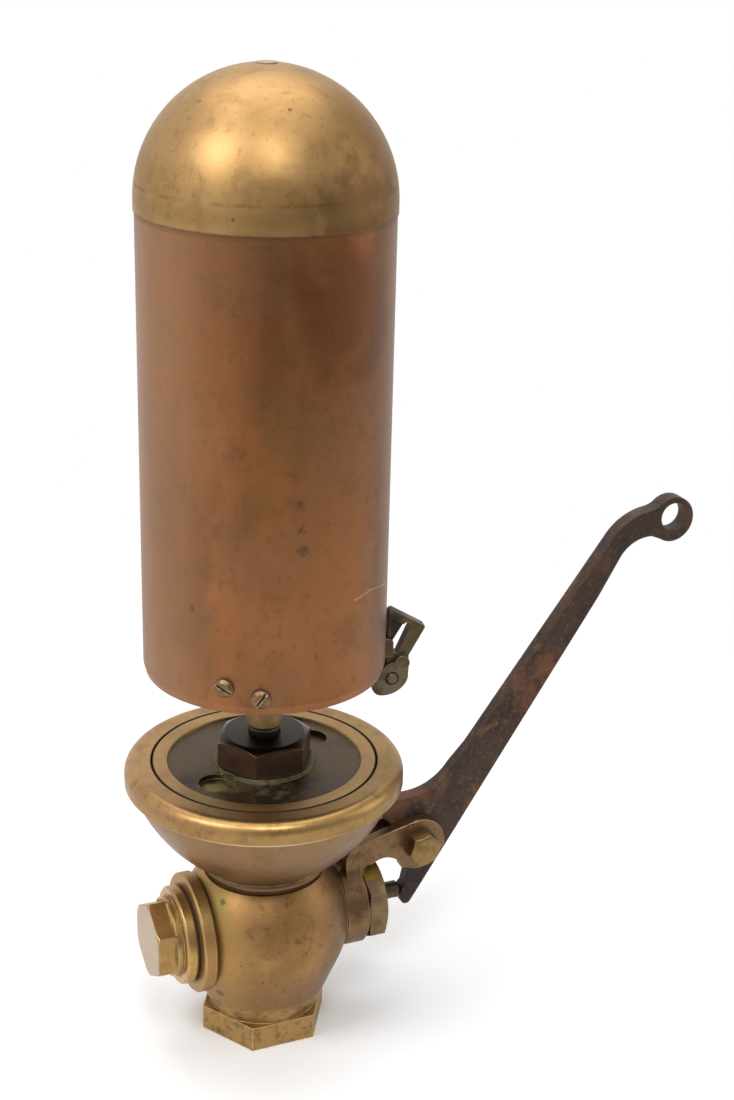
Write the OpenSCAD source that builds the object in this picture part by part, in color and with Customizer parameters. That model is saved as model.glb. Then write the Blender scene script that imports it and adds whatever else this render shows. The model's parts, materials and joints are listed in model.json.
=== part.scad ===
/* [Bell] */
// Outer diameter of the bell tube
bell_d = 88.9; // [80:0.1:96]
// Wall thickness of the bell tube
bell_wall = 1.6; // [1.2:0.1:3]
// Length of the tube from its lip to the crown
tube_len = 168; // [110:1:240]
// Height of the taper at the tube's lip
lip_taper_h = 3; // [1.5:0.1:5]
// How far the tube's lip is drawn in
lip_taper = 0.8; // [0.3:0.1:0.9]
// Height of the mouth, from the cup's rim up to the lip
mouth_h = 39.2; // [34:0.1:60]
// How far the crown stands proud of the tube all round
crown_proud = 0.4; // [0.2:0.1:1]
// Height of the straight skirt below the crown's hemisphere
crown_skirt = 3.6; // [2:0.1:10]
// Wall thickness of the crown
crown_wall = 2.6; // [2:0.1:4]
// Length of the crown's spigot inside the tube
spigot_len = 7; // [4:0.5:14]
// Diameter of the threaded boss inside the crown
crown_boss_d = 22; // [18:0.5:30]
// Depth of the threaded boss below the crown's top
crown_boss_h = 19; // [16:0.5:26]

/* [Bell stem] */
// Diameter of the bright stem inside the bell
stem_d = 13; // [12.6:0.1:16]
// Diameter of the stem's lower thread
thread_d = 12; // [10:0.1:12.4]
// Diameter of the thread in the crown's boss
crown_thread_d = 10; // [9:0.1:11.5]
// Diameter of the stem's end that shows in the crown
stem_tip_d = 7.4; // [5:0.1:8.5]
// Length of bare thread between the nut and the stem's shoulder
bare_thread = 2.1; // [1.5:0.1:8]
// Chamfer at the bright stem's lower end
stem_chamfer = 1.3; // [0.4:0.1:2]
// Width across the flats of the plate nut
nut_af = 32; // [26:0.25:36]
// Height of the plate nut
nut_h = 11.2; // [8:0.1:14]

/* [Cup and languid plate] */
// Outer diameter of the cup's rim
cup_d = 105; // [98:0.5:112]
// Height from the cup's seat on the body to its rim
cup_h = 46.4; // [42:0.1:54]
// Diameter of the collar below the bowl
collar_d = 47; // [44:0.5:52]
// Radius of the rim's rounded edge
rim_round = 4.5; // [3:0.1:6]
// Depth of the rim below its top face
rim_h = 8; // [6.5:0.1:10]
// Thickness of the bowl
bowl_wall = 4.5; // [3:0.1:6]
// Inner diameter of the rim, round the steam slot
slot_d = 85.1; // [80:0.1:88]
// Width of the ring-shaped steam slot
steam_slot = 0.6; // [0.4:0.1:1.5]
// Thickness of the languid plate at its rim
plate_t = 8; // [6:0.1:10]
// Width of the plate's raised border
plate_border = 5.3; // [3:0.1:9]
// Depth of the plate's recessed face
plate_recess = 1.2; // [0.6:0.1:2]
// Height of the nut's raised seat
nut_seat_h = 1.1; // [0.5:0.1:2]
// Diameter of the spanner pockets
pocket_d = 13.6; // [8:0.1:14]
// Depth of the spanner pockets
pocket_depth = 2; // [1.5:0.1:3.5]
// Distance of the pockets from the axis
pocket_r = 25; // [24.5:0.1:28]
// Direction of the first pocket, from the lever's side
pocket_angle = 25.5; // [0:1:90]
// Diameter of the cup's central hub
hub_d = 23; // [20:0.5:28]
// Number of webs that hold the hub
web_count = 3; // [3:1:4]
// Thickness of a web
web_t = 5; // [4:0.5:7]

/* [Valve body] */
// Height of the valve's axis above the inlet face
valve_z = 44.8; // [44:0.1:50]
// Radius of the globe
globe_r = 33; // [32:0.1:36]
// Slope of the globe's lower half, from the vertical
globe_taper = 22.5; // [20:0.5:25]
// Width across the flats of the inlet hexagon
inlet_af = 43.6; // [42.5:0.1:50]
// Height of the inlet hexagon
inlet_h = 10; // [8:0.1:14]
// Diameter of the inlet's pipe thread
inlet_d = 33.2; // [26:0.1:34]
// Depth of the inlet's pipe thread
inlet_depth = 19; // [14:0.5:20]
// Diameter of the passage from the inlet to the valve
passage_d = 17; // [14:0.5:18]
// Height of the cup's seat above the valve's axis
seat_rise = 23.2; // [23:0.1:26]
// Diameter of the threaded nipple under the cup
nipple_d = 32; // [30:0.5:34]
// Height of the nipple
nipple_h = 7.6; // [5:0.1:9]
// Diameter of the nipple's bore
nipple_bore = 25; // [20:0.5:26]
// Distance from the axis to the face of the cap's flange
flange_x = 31.7; // [30:0.1:36]
// Diameter of the cap's flange
flange_d = 46; // [42:0.5:50]
// Thickness of the cap's flange
flange_t = 5.2; // [4:0.1:7]
// Diameter of the cap's thread and of the chamber behind it
chamber_d = 30.8; // [28:0.1:32]
// Distance from the axis to the face of the bracket's boss
boss_x = 28.5; // [26:0.1:32]
// Diameter of the bracket's boss
boss_d = 34.4; // [33.6:0.1:36]

/* [Valve] */
// Thickness of the wall that holds the seat ring
seat_wall = 6; // [4:0.1:8]
// Outer diameter of the seat ring
seat_d = 22; // [20:0.1:24]
// Bore of the seat ring
seat_bore = 15; // [12:0.1:16]
// How far the seat ring stands out of its wall
seat_lip = 1.5; // [1:0.1:3]
// Diameter of the valve disc
disc_d = 21; // [19:0.1:22]
// Thickness of the valve disc
disc_t = 5; // [4:0.1:6]
// Diameter of the valve stem
rod_d = 6.8; // [6:0.1:7.4]
// How far the valve stem stands out of the bonnet
rod_out = 10.6; // [10:0.1:16]
// Chamfer of the valve stem's end
rod_chamfer = 0.9; // [0.4:0.1:1.5]
// Length of the stem's tail in the cap
rod_tail = 8; // [6:0.5:10]
// Wire diameter of the valve spring
wire_d = 1.6; // [1.2:0.1:1.8]
// Mean diameter of the valve spring's curls
coil_d = 16.4; // [15.4:0.1:18]
// Number of curls of the valve spring
coil_turns = 4.5; // [3:0.5:5]
// Width across the flats of the disc nut
disc_nut_af = 11; // [10:0.5:11.5]
// Height of the disc nut
disc_nut_h = 3.4; // [3:0.1:4]

/* [Cap and bonnet] */
// Diameter of the cap's collar
cap_collar_d = 37.6; // [35:0.1:44]
// Thickness of the cap's collar
cap_collar_t = 4.6; // [3:0.1:7]
// Diameter of the cap's neck
cap_neck_d = 30.4; // [26:0.1:30.8]
// Length of the cap's neck
cap_neck_h = 2.6; // [1.5:0.1:4]
// Width across the flats of the cap's hexagon
cap_af = 27; // [24:0.5:30]
// Height of the cap's hexagon
cap_hex_h = 7.4; // [5:0.1:10]
// Length of the cap's thread inside the body
cap_thread = 11; // [8:0.5:12]
// Thickness of the cap's gasket
gasket_t = 0.8; // [0.5:0.1:1.5]
// Diameter of the bonnet's shank
bonnet_d = 22; // [20:0.1:23]
// Length of the bonnet's thread in the boss
bonnet_thread = 9; // [6:0.5:10]
// Width across the flats of the bonnet's hexagon
bonnet_af = 31; // [28:0.5:32]
// Height of the bonnet's hexagon
bonnet_hex_h = 7.5; // [5:0.1:9]

/* [Bracket and lever] */
// Width of the bracket's ring along the valve's axis
ring_w = 10.4; // [8:0.1:12]
// Outer diameter of the bracket's ring
ring_d = 34.4; // [34:0.1:38]
// Thickness of an ear
ear_t = 4.2; // [3:0.1:6]
// Side clearance between the lever and an ear
ear_gap = 0.35; // [0.3:0.05:0.8]
// Radius of an ear round the pivot
ear_r = 10.6; // [9.5:0.1:12]
// Distance from the axis to the pivot
pivot_x = 62.7; // [62:0.1:66]
// Height of the pivot above the valve's axis
pivot_rise = 23.1; // [22:0.1:26]
// Diameter of the pivot bolt
pivot_d = 8; // [6:0.1:9]
// Width across the flats of the pivot bolt and nut
pivot_af = 11.6; // [11:0.1:14]
// Height of the pivot bolt's head
pivot_head_h = 6.3; // [4:0.1:7]
// Height of the pivot nut
pivot_nut_h = 5; // [4:0.1:7]
// Thickness of the lever
lever_t = 6; // [5:0.1:8]
// Slope of the lever's arm above the horizontal
arm_angle = 57.4; // [55:0.1:60]
// Width of the arm where it leaves the hub
arm_w_low = 14.6; // [13:0.1:16]
// Width of the arm below the gooseneck
arm_w_high = 8.9; // [7:0.1:10]
// Distance from the pivot to the arm's lower edge
arm_drop = 14.2; // [13.5:0.1:15]
// Length of the arm's lower edge, up to the gooseneck
arm_len = 137; // [100:1:170]
// Distance from the start of the gooseneck to the eye, along X
eye_dx = 23.2; // [21:0.1:27]
// Distance from the start of the gooseneck to the eye, along Z
eye_dz = 14.2; // [12.5:0.1:15]
// Radius of the lever's eye
eye_r = 9.2; // [8.8:0.1:11]
// Diameter of the worn hole in the eye
eye_hole_d = 11.2; // [6:0.1:12]

/* [Small fittings] */
// Diameter of the two screws' heads
screw_head_d = 6.6; // [5:0.1:8]
// Height of the two screws' heads
screw_head_h = 1.9; // [1.2:0.1:3]
// Diameter of the two screws' shanks
screw_d = 3.8; // [3:0.1:4.5]
// Directions of the two screws, from the lever's side
screw_angles = [-128.7, -112.2];
// Heights of the two screws above the lip
screw_rises = [9.9, 6.6];
// Direction of the slotted loop, from the lever's side
loop_angle = -10.6; // [-14:0.1:10]
// Distance from the tube's wall to the loop's pin
loop_pin_out = 3.3; // [3:0.1:4.5]
// Drop of the loop's pin below the lip
loop_pin_drop = 9; // [9:0.1:12]
// Radius of the loop's hub
loop_hub_r = 5.5; // [5:0.1:6.2]
// Width of the loop's hub along its pin
loop_w = 6.8; // [6.4:0.1:8]
// Thickness of the loop's frame
loop_t = 4.4; // [3.6:0.1:5.4]
// Diameter of the loop's pin
loop_pin_d = 4.4; // [3.5:0.1:5]
// Thickness of the lug's tongue between the loop's cheeks
tongue_t = 2.6; // [2.2:0.1:3]
// Thickness of the lug's pad on the tube
pad_t = 1; // [0.8:0.1:1.2]

/* [Fits] */
// Clearance between threaded or seated pieces
seat_gap = 0.05; // [0.02:0.01:0.1]
// Running clearance of the moving pieces, on the radius
run_gap = 0.06; // [0.03:0.01:0.09]
// Rest clearance at the toe and at the disc
touch_gap = 0.15; // [0.1:0.05:0.3]
// Room round the bonnet's hexagon when it is screwed in
turn_gap = 0.3; // [0.2:0.05:0.6]

/* [Hidden] */
$fn = 96;
eps = 0.01;

// Heights along the whistle's axis
cup_seat_z = valve_z + seat_rise;
rim_z = cup_seat_z + cup_h;
plate_z = rim_z - plate_t;
recess_z = rim_z - plate_recess;
nut_z = recess_z + nut_seat_h;
shoulder_z = nut_z + nut_h + bare_thread;
lip_z = rim_z + mouth_h;
joint_z = lip_z + tube_len;
dome_z = joint_z + crown_skirt;
bell_r = bell_d / 2;
crown_r = bell_r + crown_proud;
apex_z = dome_z + crown_r;

// Places along the valve's axis
seat_x = -seat_lip;
disc_x = seat_x - touch_gap;
disc_back_x = disc_x - disc_t;
cap_face_x = -flange_x + cap_thread;
ring_front_x = boss_x + ring_w;
bonnet_face_x = ring_front_x + bonnet_hex_h;
rod_end_x = bonnet_face_x + rod_out;
toe_x = rod_end_x + touch_gap;
pivot_z = valve_z + pivot_rise;
ear_in = lever_t / 2 + ear_gap;
ear_out = ear_in + ear_t;
ear_foot_x = boss_x + 2.8;
ear_fillet_r = 6;
ring_chamfer = 1.4;

// Directions and places of the lever's arm, with X and Z
arm_along = [cos(arm_angle), sin(arm_angle)];
arm_across = [sin(arm_angle), -cos(arm_angle)];
arm_edge = [pivot_x, pivot_z] + arm_across * arm_drop;
neck_in = 0.9;
neck = arm_edge + arm_along * arm_len - arm_across * neck_in;
eye = neck + [eye_dx, eye_dz];

// Points of an arc in the plane of a profile, from one angle to another
function arc(x, y, r, from, to, steps) =
    [for (i = [0 : steps]) let (a = from + (to - from) * i / steps) [x + r * cos(a), y + r * sin(a)]];

// A hexagon's radius at its corners, from its width across the flats
function hex_r(af) = af / 2 / cos(30);

// A cylinder along +X from a place on the valve's axis
module along_x(x, d, h) {
    translate([x, 0, valve_z])
        rotate([0, 90, 0])
            cylinder(d = d, h = h);
}

// A hexagonal prism with one chamfered end, standing on the plane z = 0
module hex_head(af, h, chamfer) {
    intersection() {
        cylinder(r = hex_r(af), h = h, $fn = 6);
        union() {
            cylinder(r = hex_r(af) + 1, h = h - chamfer);
            translate([0, 0, h - chamfer])
                cylinder(r1 = hex_r(af), r2 = hex_r(af) - chamfer * 1.8, h = chamfer);
        }
    }
}

module globe_profile() {
    tangent_r = globe_r * cos(globe_taper);
    tangent_z = valve_z - globe_r * sin(globe_taper);
    foot_z = inlet_h / 2;
    foot_r = tangent_r - (tangent_z - foot_z) * tan(globe_taper);
    polygon([[0, foot_z], [foot_r, foot_z], [tangent_r, tangent_z], [0, tangent_z]]);
    intersection() {
        translate([0, valve_z])
            circle(r = globe_r);
        translate([0, tangent_z])
            square([globe_r, cup_seat_z - tangent_z]);
    }
}

// A cylinder along +X with a chamfer at its first and at its last end
module chamfered_x(x, d, h, first, last) {
    translate([x, 0, valve_z])
        rotate([0, 90, 0]) {
            cylinder(d1 = d - 2 * first, d2 = d, h = first);
            translate([0, 0, first])
                cylinder(d = d, h = h - first - last);
            translate([0, 0, h - last])
                cylinder(d1 = d, d2 = d - 2 * last, h = last);
        }
}

module body_outside() {
    cylinder(r = hex_r(inlet_af), h = inlet_h, $fn = 6);
    intersection() {
        rotate_extrude()
            globe_profile();
        translate([-flange_x, -globe_r - 1, 0])
            cube([flange_x + boss_x, 2 * globe_r + 2, cup_seat_z]);
    }
    chamfered_x(-flange_x, flange_d, flange_t, 0.6, 0.6);
    along_x(0, boss_d, boss_x);
    translate([0, 0, cup_seat_z - eps])
        cylinder(d = nipple_d, h = nipple_h + eps);
}

module valve_body() {
    passage_x = passage_d / 2 + 0.5;
    outlet_d = passage_d - 4;
    outlet_x = seat_wall + outlet_d / 2 + 0.3;
    color("#8f6f3c")
        difference() {
            body_outside();
            translate([0, 0, -eps])
                cylinder(d = inlet_d, h = inlet_depth + eps);
            translate([-passage_x, 0, inlet_depth - eps])
                cylinder(d = passage_d, h = valve_z - inlet_depth);
            along_x(-flange_x - eps, chamber_d, flange_x + eps);
            along_x(-eps, seat_d, seat_wall + 2 * eps);
            along_x(seat_wall, seat_d + 2, boss_x - bonnet_thread - seat_wall - 0.5);
            along_x(boss_x - bonnet_thread - 1, bonnet_d, bonnet_thread + 1 + eps);
            translate([outlet_x, 0, valve_z])
                cylinder(d = outlet_d, h = seat_rise - 2 + eps);
            translate([0, 0, cup_seat_z - 2])
                cylinder(d = nipple_bore, h = nipple_h + 2 + eps);
        }
}

module seat_ring() {
    color("#b08d4a")
        difference() {
            along_x(seat_x, seat_d - 2 * seat_gap, seat_wall + seat_lip);
            along_x(seat_x - eps, seat_bore, seat_wall + seat_lip + 2 * eps);
        }
}

module valve_disc() {
    color("#a8843f")
        difference() {
            along_x(disc_back_x, disc_d, disc_t);
            along_x(disc_back_x - eps, rod_d + 2 * seat_gap, disc_t + 2 * eps);
        }
}

module disc_nut() {
    color("#8f6f3c")
        translate([disc_back_x, 0, valve_z])
            rotate([0, -90, 0])
                difference() {
                    hex_head(disc_nut_af, disc_nut_h, 0.6);
                    translate([0, 0, -eps])
                        cylinder(d = rod_d + 2 * seat_gap, h = disc_nut_h + 2 * eps);
                }
}

module valve_stem() {
    tail_x = cap_face_x - rod_tail;
    color("#8c7a55") {
        along_x(tail_x, rod_d, rod_end_x - rod_chamfer - tail_x);
        translate([rod_end_x - rod_chamfer, 0, valve_z])
            rotate([0, 90, 0])
                cylinder(d1 = rod_d, d2 = rod_d - 2 * rod_chamfer, h = rod_chamfer);
    }
}

// Spring wire as one tube round a helix
coil_start = cap_face_x + wire_d / 2 + touch_gap;
coil_end = disc_back_x - wire_d / 2 - touch_gap;
coil_rings = 8;
coil_sides = 6;
coil_steps = round(coil_turns * coil_rings);
function coil_point(i) = let (a = 360 * i / coil_rings)
    [coil_start + (coil_end - coil_start) * i / coil_steps,
     coil_d / 2 * cos(a),
     valve_z + coil_d / 2 * sin(a)];
function coil_ring(i) = let (a = 360 * i / coil_rings, p = coil_point(i))
    [for (k = [0 : coil_sides - 1]) let (b = 360 * k / coil_sides, r = wire_d / 2)
        p + [r * sin(b), r * cos(b) * cos(a), r * cos(b) * sin(a)]];
coil_points = [for (i = [0 : coil_steps]) each coil_ring(i)];
coil_faces = concat(
    [[for (k = [coil_sides - 1 : -1 : 0]) k]],
    [for (i = [0 : coil_steps - 1]) for (k = [0 : coil_sides - 1])
        let (a = i * coil_sides + k, b = i * coil_sides + (k + 1) % coil_sides)
            each [[a, b, a + coil_sides], [b, b + coil_sides, a + coil_sides]]],
    [[for (k = [0 : coil_sides - 1]) coil_steps * coil_sides + k]]);
coil_gaps = [for (i = [0 : coil_steps - coil_rings])
    min([for (j = [i + coil_rings - 1 : min(coil_steps, i + coil_rings + 1)])
        norm(coil_point(i) - coil_point(j)) - wire_d])];
echo(spring_gap_to_itself = min(coil_gaps));

module valve_spring() {
    color("#9a9a92")
        polyhedron(coil_points, coil_faces);
}

module valve_cap() {
    collar_x = -flange_x - gasket_t - cap_collar_t;
    neck_x = collar_x - cap_neck_h;
    color("#b28a44")
        difference() {
            union() {
                along_x(-flange_x - gasket_t - eps, chamber_d - 2 * seat_gap,
                    cap_thread + gasket_t + eps);
                chamfered_x(collar_x, cap_collar_d, cap_collar_t, 0.7, 0.7);
                along_x(neck_x, cap_neck_d, cap_neck_h + eps);
                translate([neck_x + eps, 0, valve_z])
                    rotate([0, -90, 0])
                        hex_head(cap_af, cap_hex_h, 0.7);
            }
            along_x(cap_face_x - rod_tail - 6, rod_d + 2 * run_gap, rod_tail + 6 + eps);
        }
}

module cap_gasket() {
    color("#3b352c")
        difference() {
            along_x(-flange_x - gasket_t, cap_collar_d - 2, gasket_t);
            along_x(-flange_x - gasket_t - eps, chamber_d + 0.2, gasket_t + 2 * eps);
        }
}

module bonnet() {
    color("#a07f40")
        difference() {
            union() {
                along_x(boss_x - bonnet_thread, bonnet_d - 2 * seat_gap, bonnet_thread + ring_w + eps);
                translate([ring_front_x, 0, valve_z])
                    rotate([0, 90, 0])
                        hex_head(bonnet_af, bonnet_hex_h, 1.4);
            }
            along_x(boss_x - bonnet_thread - eps, rod_d + 2 * run_gap,
                bonnet_thread + ring_w + bonnet_hex_h + 2 * eps);
        }
}

// Side view of an ear, drawn with X across and Z up
module ear_profile() {
    shoulder_z1 = pivot_z + 0.9;
    top_z = pivot_z + 5.9;
    arch_r = 7.8;
    arch_x = ear_foot_x + arch_r + 8.5;
    arch_z = valve_z + 12.2;
    corner_r = 2.4;
    corner_z = valve_z + 15.8;
    difference() {
        union() {
            translate([pivot_x, pivot_z])
                circle(r = ear_r);
            polygon(concat(
                [[ear_foot_x, valve_z], [ear_foot_x, shoulder_z1 - 3]],
                arc(ear_foot_x + 7, shoulder_z1 - 3, 7, 180, 102, 12),
                arc(pivot_x, pivot_z, ear_r, 102, 60, 2),
                [[pivot_x, pivot_z], [pivot_x - 6, pivot_z - 9], [ring_front_x, arch_z], [ring_front_x, valve_z]]));
        }
        translate([arch_x, arch_z])
            circle(r = arch_r);
        translate([ring_front_x + corner_r, corner_z])
            circle(r = corner_r);
        translate([ring_front_x, valve_z - 20])
            square([arch_x - ring_front_x + arch_r, arch_z - valve_z + 20]);
        translate([ring_front_x, arch_z - 1])
            square([corner_r, corner_z - arch_z + 1]);
    }
}

// Soft corner between an ear's outside and the ring, drawn with Y across and Z up
module ear_fillet() {
    fillet_z = sqrt(pow(ring_d / 2 + ear_fillet_r, 2) - pow(ear_out + ear_fillet_r, 2));
    turn = atan(fillet_z / (ear_out + ear_fillet_r));
    polygon(concat(
        [[ear_out - 1, fillet_z]],
        arc(ear_out + ear_fillet_r, fillet_z, ear_fillet_r, 180, 180 + turn, 10),
        [[ear_out - 1, ring_d / 2 - 5]]));
}

module lever_bracket() {
    color("#94733f")
        difference() {
            union() {
                chamfered_x(boss_x, ring_d, ring_w, 0.5, ring_chamfer);
                for (side = [-1, 1])
                    translate([0, side * (ear_in + ear_t / 2), 0])
                        rotate([90, 0, 0])
                            translate([0, 0, -ear_t / 2])
                                linear_extrude(ear_t)
                                    ear_profile();
                translate([ear_foot_x, 0, valve_z])
                    rotate([90, 0, 90])
                        linear_extrude(ring_front_x - ear_foot_x - ring_chamfer)
                            for (side = [0, 1])
                                mirror([side, 0])
                                    ear_fillet();
            }
            along_x(boss_x - eps, bonnet_d, ring_w + 2 * eps);
            along_x(ring_front_x, 2 * (hex_r(bonnet_af) + turn_gap), bonnet_hex_h + turn_gap);
            translate([pivot_x, ear_out + eps, pivot_z])
                rotate([90, 0, 0])
                    cylinder(d = pivot_d + 2 * seat_gap, h = 2 * (ear_out + eps));
        }
}

// Outline of the lever, drawn with X across and Z up
module lever_profile() {
    tip_r = 2.2;
    nose_r = 5;
    heel = [pivot_x - 2.7, pivot_z + 41.1];
    heel_r = 22.2;
    low = arm_edge + arm_along * 43 - arm_across * arm_w_low;
    neck_r = 14.5;
    bend_r = 24;
    bend = arm_edge + arm_along * (arm_len + 3.4) + arm_across * (bend_r - arm_w_high);
    eye_mid = eye + [-0.3, -1.1];
    inside_r = eye_r - 0.15;
    fillet_r = 10;
    p = bend_r + fillet_r;
    q = inside_r + fillet_r;
    span = norm(eye_mid - bend);
    from_bend = atan2(eye_mid[1] - bend[1], eye_mid[0] - bend[0])
        + acos((p * p + span * span - q * q) / (2 * p * span));
    fillet = bend + p * [cos(from_bend), sin(from_bend)];
    from_eye = atan2(fillet[1] - eye_mid[1], fillet[0] - eye_mid[0]);
    polygon(concat(
        arc(toe_x + 2.5, valve_z - 3.7, tip_r, 180, 327, 10),
        [arm_edge, neck - arm_along * 18 + arm_across * neck_in],
        arc(neck[0] + neck_r * cos(30), neck[1] - neck_r * sin(30), neck_r, 150, 86, 12),
        [eye_mid + inside_r * [cos(-104), sin(-104)], eye_mid],
        arc(fillet[0], fillet[1], fillet_r, from_eye - 180, from_bend - 180, 6),
        arc(bend[0], bend[1], bend_r, from_bend + 4, 90 + arm_angle, 12),
        [low],
        arc(heel[0], heel[1], heel_r, -33.6, -90, 14),
        arc(pivot_x - 13, pivot_z + 15.4, 3.2, 90, 215, 8),
        [[pivot_x - 10.5, pivot_z + 8.6], [pivot_x - 9.7, pivot_z + 2], [pivot_x - 8.9, pivot_z - 3],
         [pivot_x - 5.3, pivot_z - 8], [pivot_x - 2.6, pivot_z - 11.5], [pivot_x - 2.3, pivot_z - 14.5]],
        arc(toe_x + nose_r, valve_z - 1.5, nose_r, 127, 195, 10)));
    translate(eye_mid)
        circle(r = eye_r);
}

module lever() {
    color("#4a352b")
        difference() {
            translate([0, lever_t / 2, 0])
                rotate([90, 0, 0])
                    linear_extrude(lever_t)
                        lever_profile();
            translate([pivot_x, lever_t, pivot_z])
                rotate([90, 0, 0])
                    cylinder(d = pivot_d + 2 * run_gap, h = 2 * lever_t);
            translate([eye[0], lever_t, eye[1]])
                rotate([90, 0, 0])
                    cylinder(d = eye_hole_d, h = 2 * lever_t);
        }
}

washer_t = 1;

module pivot_bolt() {
    tail = ear_out + washer_t + pivot_nut_h + 2;
    color("#c2a050")
        translate([pivot_x, 0, pivot_z])
            rotate([90, 0, 0]) {
                translate([0, 0, -tail])
                    cylinder(d = pivot_d, h = tail + ear_out + eps);
                translate([0, 0, ear_out])
                    rotate([0, 0, 12])
                        hex_head(pivot_af, pivot_head_h, 0.9);
                translate([0, 0, ear_out + pivot_head_h - eps])
                    cylinder(d1 = pivot_af * 0.72, d2 = pivot_af * 0.62, h = 0.5);
            }
}

module pivot_washer() {
    color("#8f7a4a")
        translate([pivot_x, ear_out + washer_t, pivot_z])
            rotate([90, 0, 0])
                difference() {
                    cylinder(d = pivot_af * 1.25, h = washer_t);
                    translate([0, 0, -eps])
                        cylinder(d = pivot_d + 2 * seat_gap, h = washer_t + 2 * eps);
                }
}

module pivot_nut() {
    color("#b28f4a")
        translate([pivot_x, ear_out + washer_t, pivot_z])
            rotate([-90, 0, 0])
                difference() {
                    hex_head(pivot_af, pivot_nut_h, 0.8);
                    translate([0, 0, -eps])
                        cylinder(d = pivot_d + 2 * seat_gap, h = pivot_nut_h + 2 * eps);
                }
}

// The bowl's outside is an arc; these are its centre and its lower and upper ends
bowl_r = 62;
bowl_cx = cup_d / 2 - 2.8 - bowl_r * cos(20);
bowl_top_z = rim_z - rim_h - 1.6;
bowl_cz = bowl_top_z + bowl_r * sin(20);
bowl_foot_z = bowl_cz - bowl_r * sin(55.5);
function bowl_radius(z, inward) = bowl_cx + sqrt(pow(bowl_r - inward, 2) - pow(bowl_cz - z, 2));

// The part of the bowl's arc between two heights, filled up to the axis
module bowl_slice(from, to, inward) {
    intersection() {
        translate([bowl_cx, bowl_cz])
            circle(r = bowl_r - inward);
        translate([0, from])
            square([cup_d, to - from]);
    }
}

module cup_profile() {
    rim_r = cup_d / 2;
    neck_r = collar_d / 2 - 1.2;
    bead_r = 1.9;
    bead_z = cup_seat_z + 3.1;
    floor_z = cup_seat_z + nipple_h + 0.4;
    hollow_z = floor_z + 3.5;
    difference() {
        union() {
            polygon([[0, cup_seat_z], [neck_r, cup_seat_z], [neck_r, bead_z],
                [neck_r + bead_r * cos(45), bead_z + bead_r * sin(45)],
                [bowl_radius(bowl_foot_z, 0), bowl_foot_z], [0, bowl_foot_z]]);
            translate([neck_r, bead_z])
                circle(r = bead_r);
            bowl_slice(bowl_foot_z - eps, bowl_top_z, 0);
            polygon([[0, bowl_top_z - eps], [bowl_radius(bowl_top_z, 0), bowl_top_z - eps],
                [rim_r, rim_z - rim_h], [rim_r, rim_z - rim_round], [0, rim_z - rim_round]]);
            translate([rim_r - rim_round, rim_z - rim_round])
                circle(r = rim_round);
            translate([0, rim_z - rim_round - eps])
                square([rim_r - rim_round, rim_round + eps]);
        }
        polygon([[0, floor_z], [nipple_d / 2 + 1, floor_z],
            [bowl_radius(hollow_z, bowl_wall), hollow_z], [0, hollow_z]]);
        bowl_slice(hollow_z - eps, plate_z - 1, bowl_wall);
        translate([0, plate_z - 1 - eps])
            square([slot_d / 2, plate_t + 2]);
        translate([0, cup_seat_z - 1])
            square([nipple_d / 2 + seat_gap, nipple_h + 2]);
    }
}

module cup() {
    hub_z = cup_seat_z + nipple_h + 10;
    web_top = plate_z - 6;
    color("#a3803f")
        difference() {
            union() {
                rotate_extrude()
                    cup_profile();
                translate([0, 0, hub_z])
                    cylinder(d = hub_d, h = plate_z - hub_z);
                for (i = [0 : web_count - 1])
                    rotate([90, 0, 90 + i * 360 / web_count])
                        translate([0, 0, -web_t / 2])
                            linear_extrude(web_t)
                                polygon([[hub_d / 2 - 2, hub_z],
                                    [bowl_radius(hub_z, bowl_wall / 2), hub_z],
                                    [bowl_radius(web_top, bowl_wall / 2), web_top],
                                    [hub_d / 2 - 2, web_top]]);
            }
            translate([0, 0, hub_z - 1])
                cylinder(d = thread_d, h = plate_z - hub_z + 2);
        }
}

module languid_plate() {
    plate_r = slot_d / 2 - steam_slot;
    nut_seat_r = hex_r(nut_af) + 0.3;
    color("#5a5038")
        difference() {
            rotate_extrude()
                polygon([[thread_d / 2 + seat_gap, plate_z], [plate_r - 5, plate_z], [plate_r, plate_z + 3.5],
                    [plate_r, rim_z], [plate_r - plate_border, rim_z],
                    [plate_r - plate_border - 0.8, recess_z], [nut_seat_r + 0.4, recess_z],
                    [nut_seat_r, nut_z], [thread_d / 2 + seat_gap, nut_z]]);
            for (turn = [0, 180])
                rotate([0, 0, pocket_angle + turn])
                    translate([pocket_r, 0, recess_z - pocket_depth])
                        cylinder(d = pocket_d, h = pocket_depth + nut_seat_h + 1);
        }
}

module plate_nut() {
    color("#6b4d2c")
        translate([0, 0, nut_z])
            difference() {
                hex_head(nut_af, nut_h, 2);
                translate([0, 0, -eps])
                    cylinder(d = thread_d + 2 * seat_gap, h = nut_h + 2 * eps);
            }
}

module bell_stem() {
    hub_z = cup_seat_z + nipple_h + 10;
    boss_z = apex_z - crown_boss_h;
    tip_z = apex_z - crown_wall - 2;
    color("#b59654") {
        translate([0, 0, hub_z])
            cylinder(d = thread_d - 2 * seat_gap, h = shoulder_z - hub_z + eps);
        translate([0, 0, shoulder_z])
            cylinder(d1 = stem_d - 2 * stem_chamfer, d2 = stem_d, h = stem_chamfer + 0.4);
        translate([0, 0, shoulder_z + stem_chamfer + 0.4 - eps])
            cylinder(d = stem_d, h = boss_z - shoulder_z - stem_chamfer - 0.4 + eps);
        translate([0, 0, boss_z - eps])
            cylinder(d = crown_thread_d, h = tip_z - boss_z + eps);
        translate([0, 0, tip_z - eps])
            cylinder(d = stem_tip_d, h = apex_z - tip_z + 0.2);
    }
}

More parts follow.
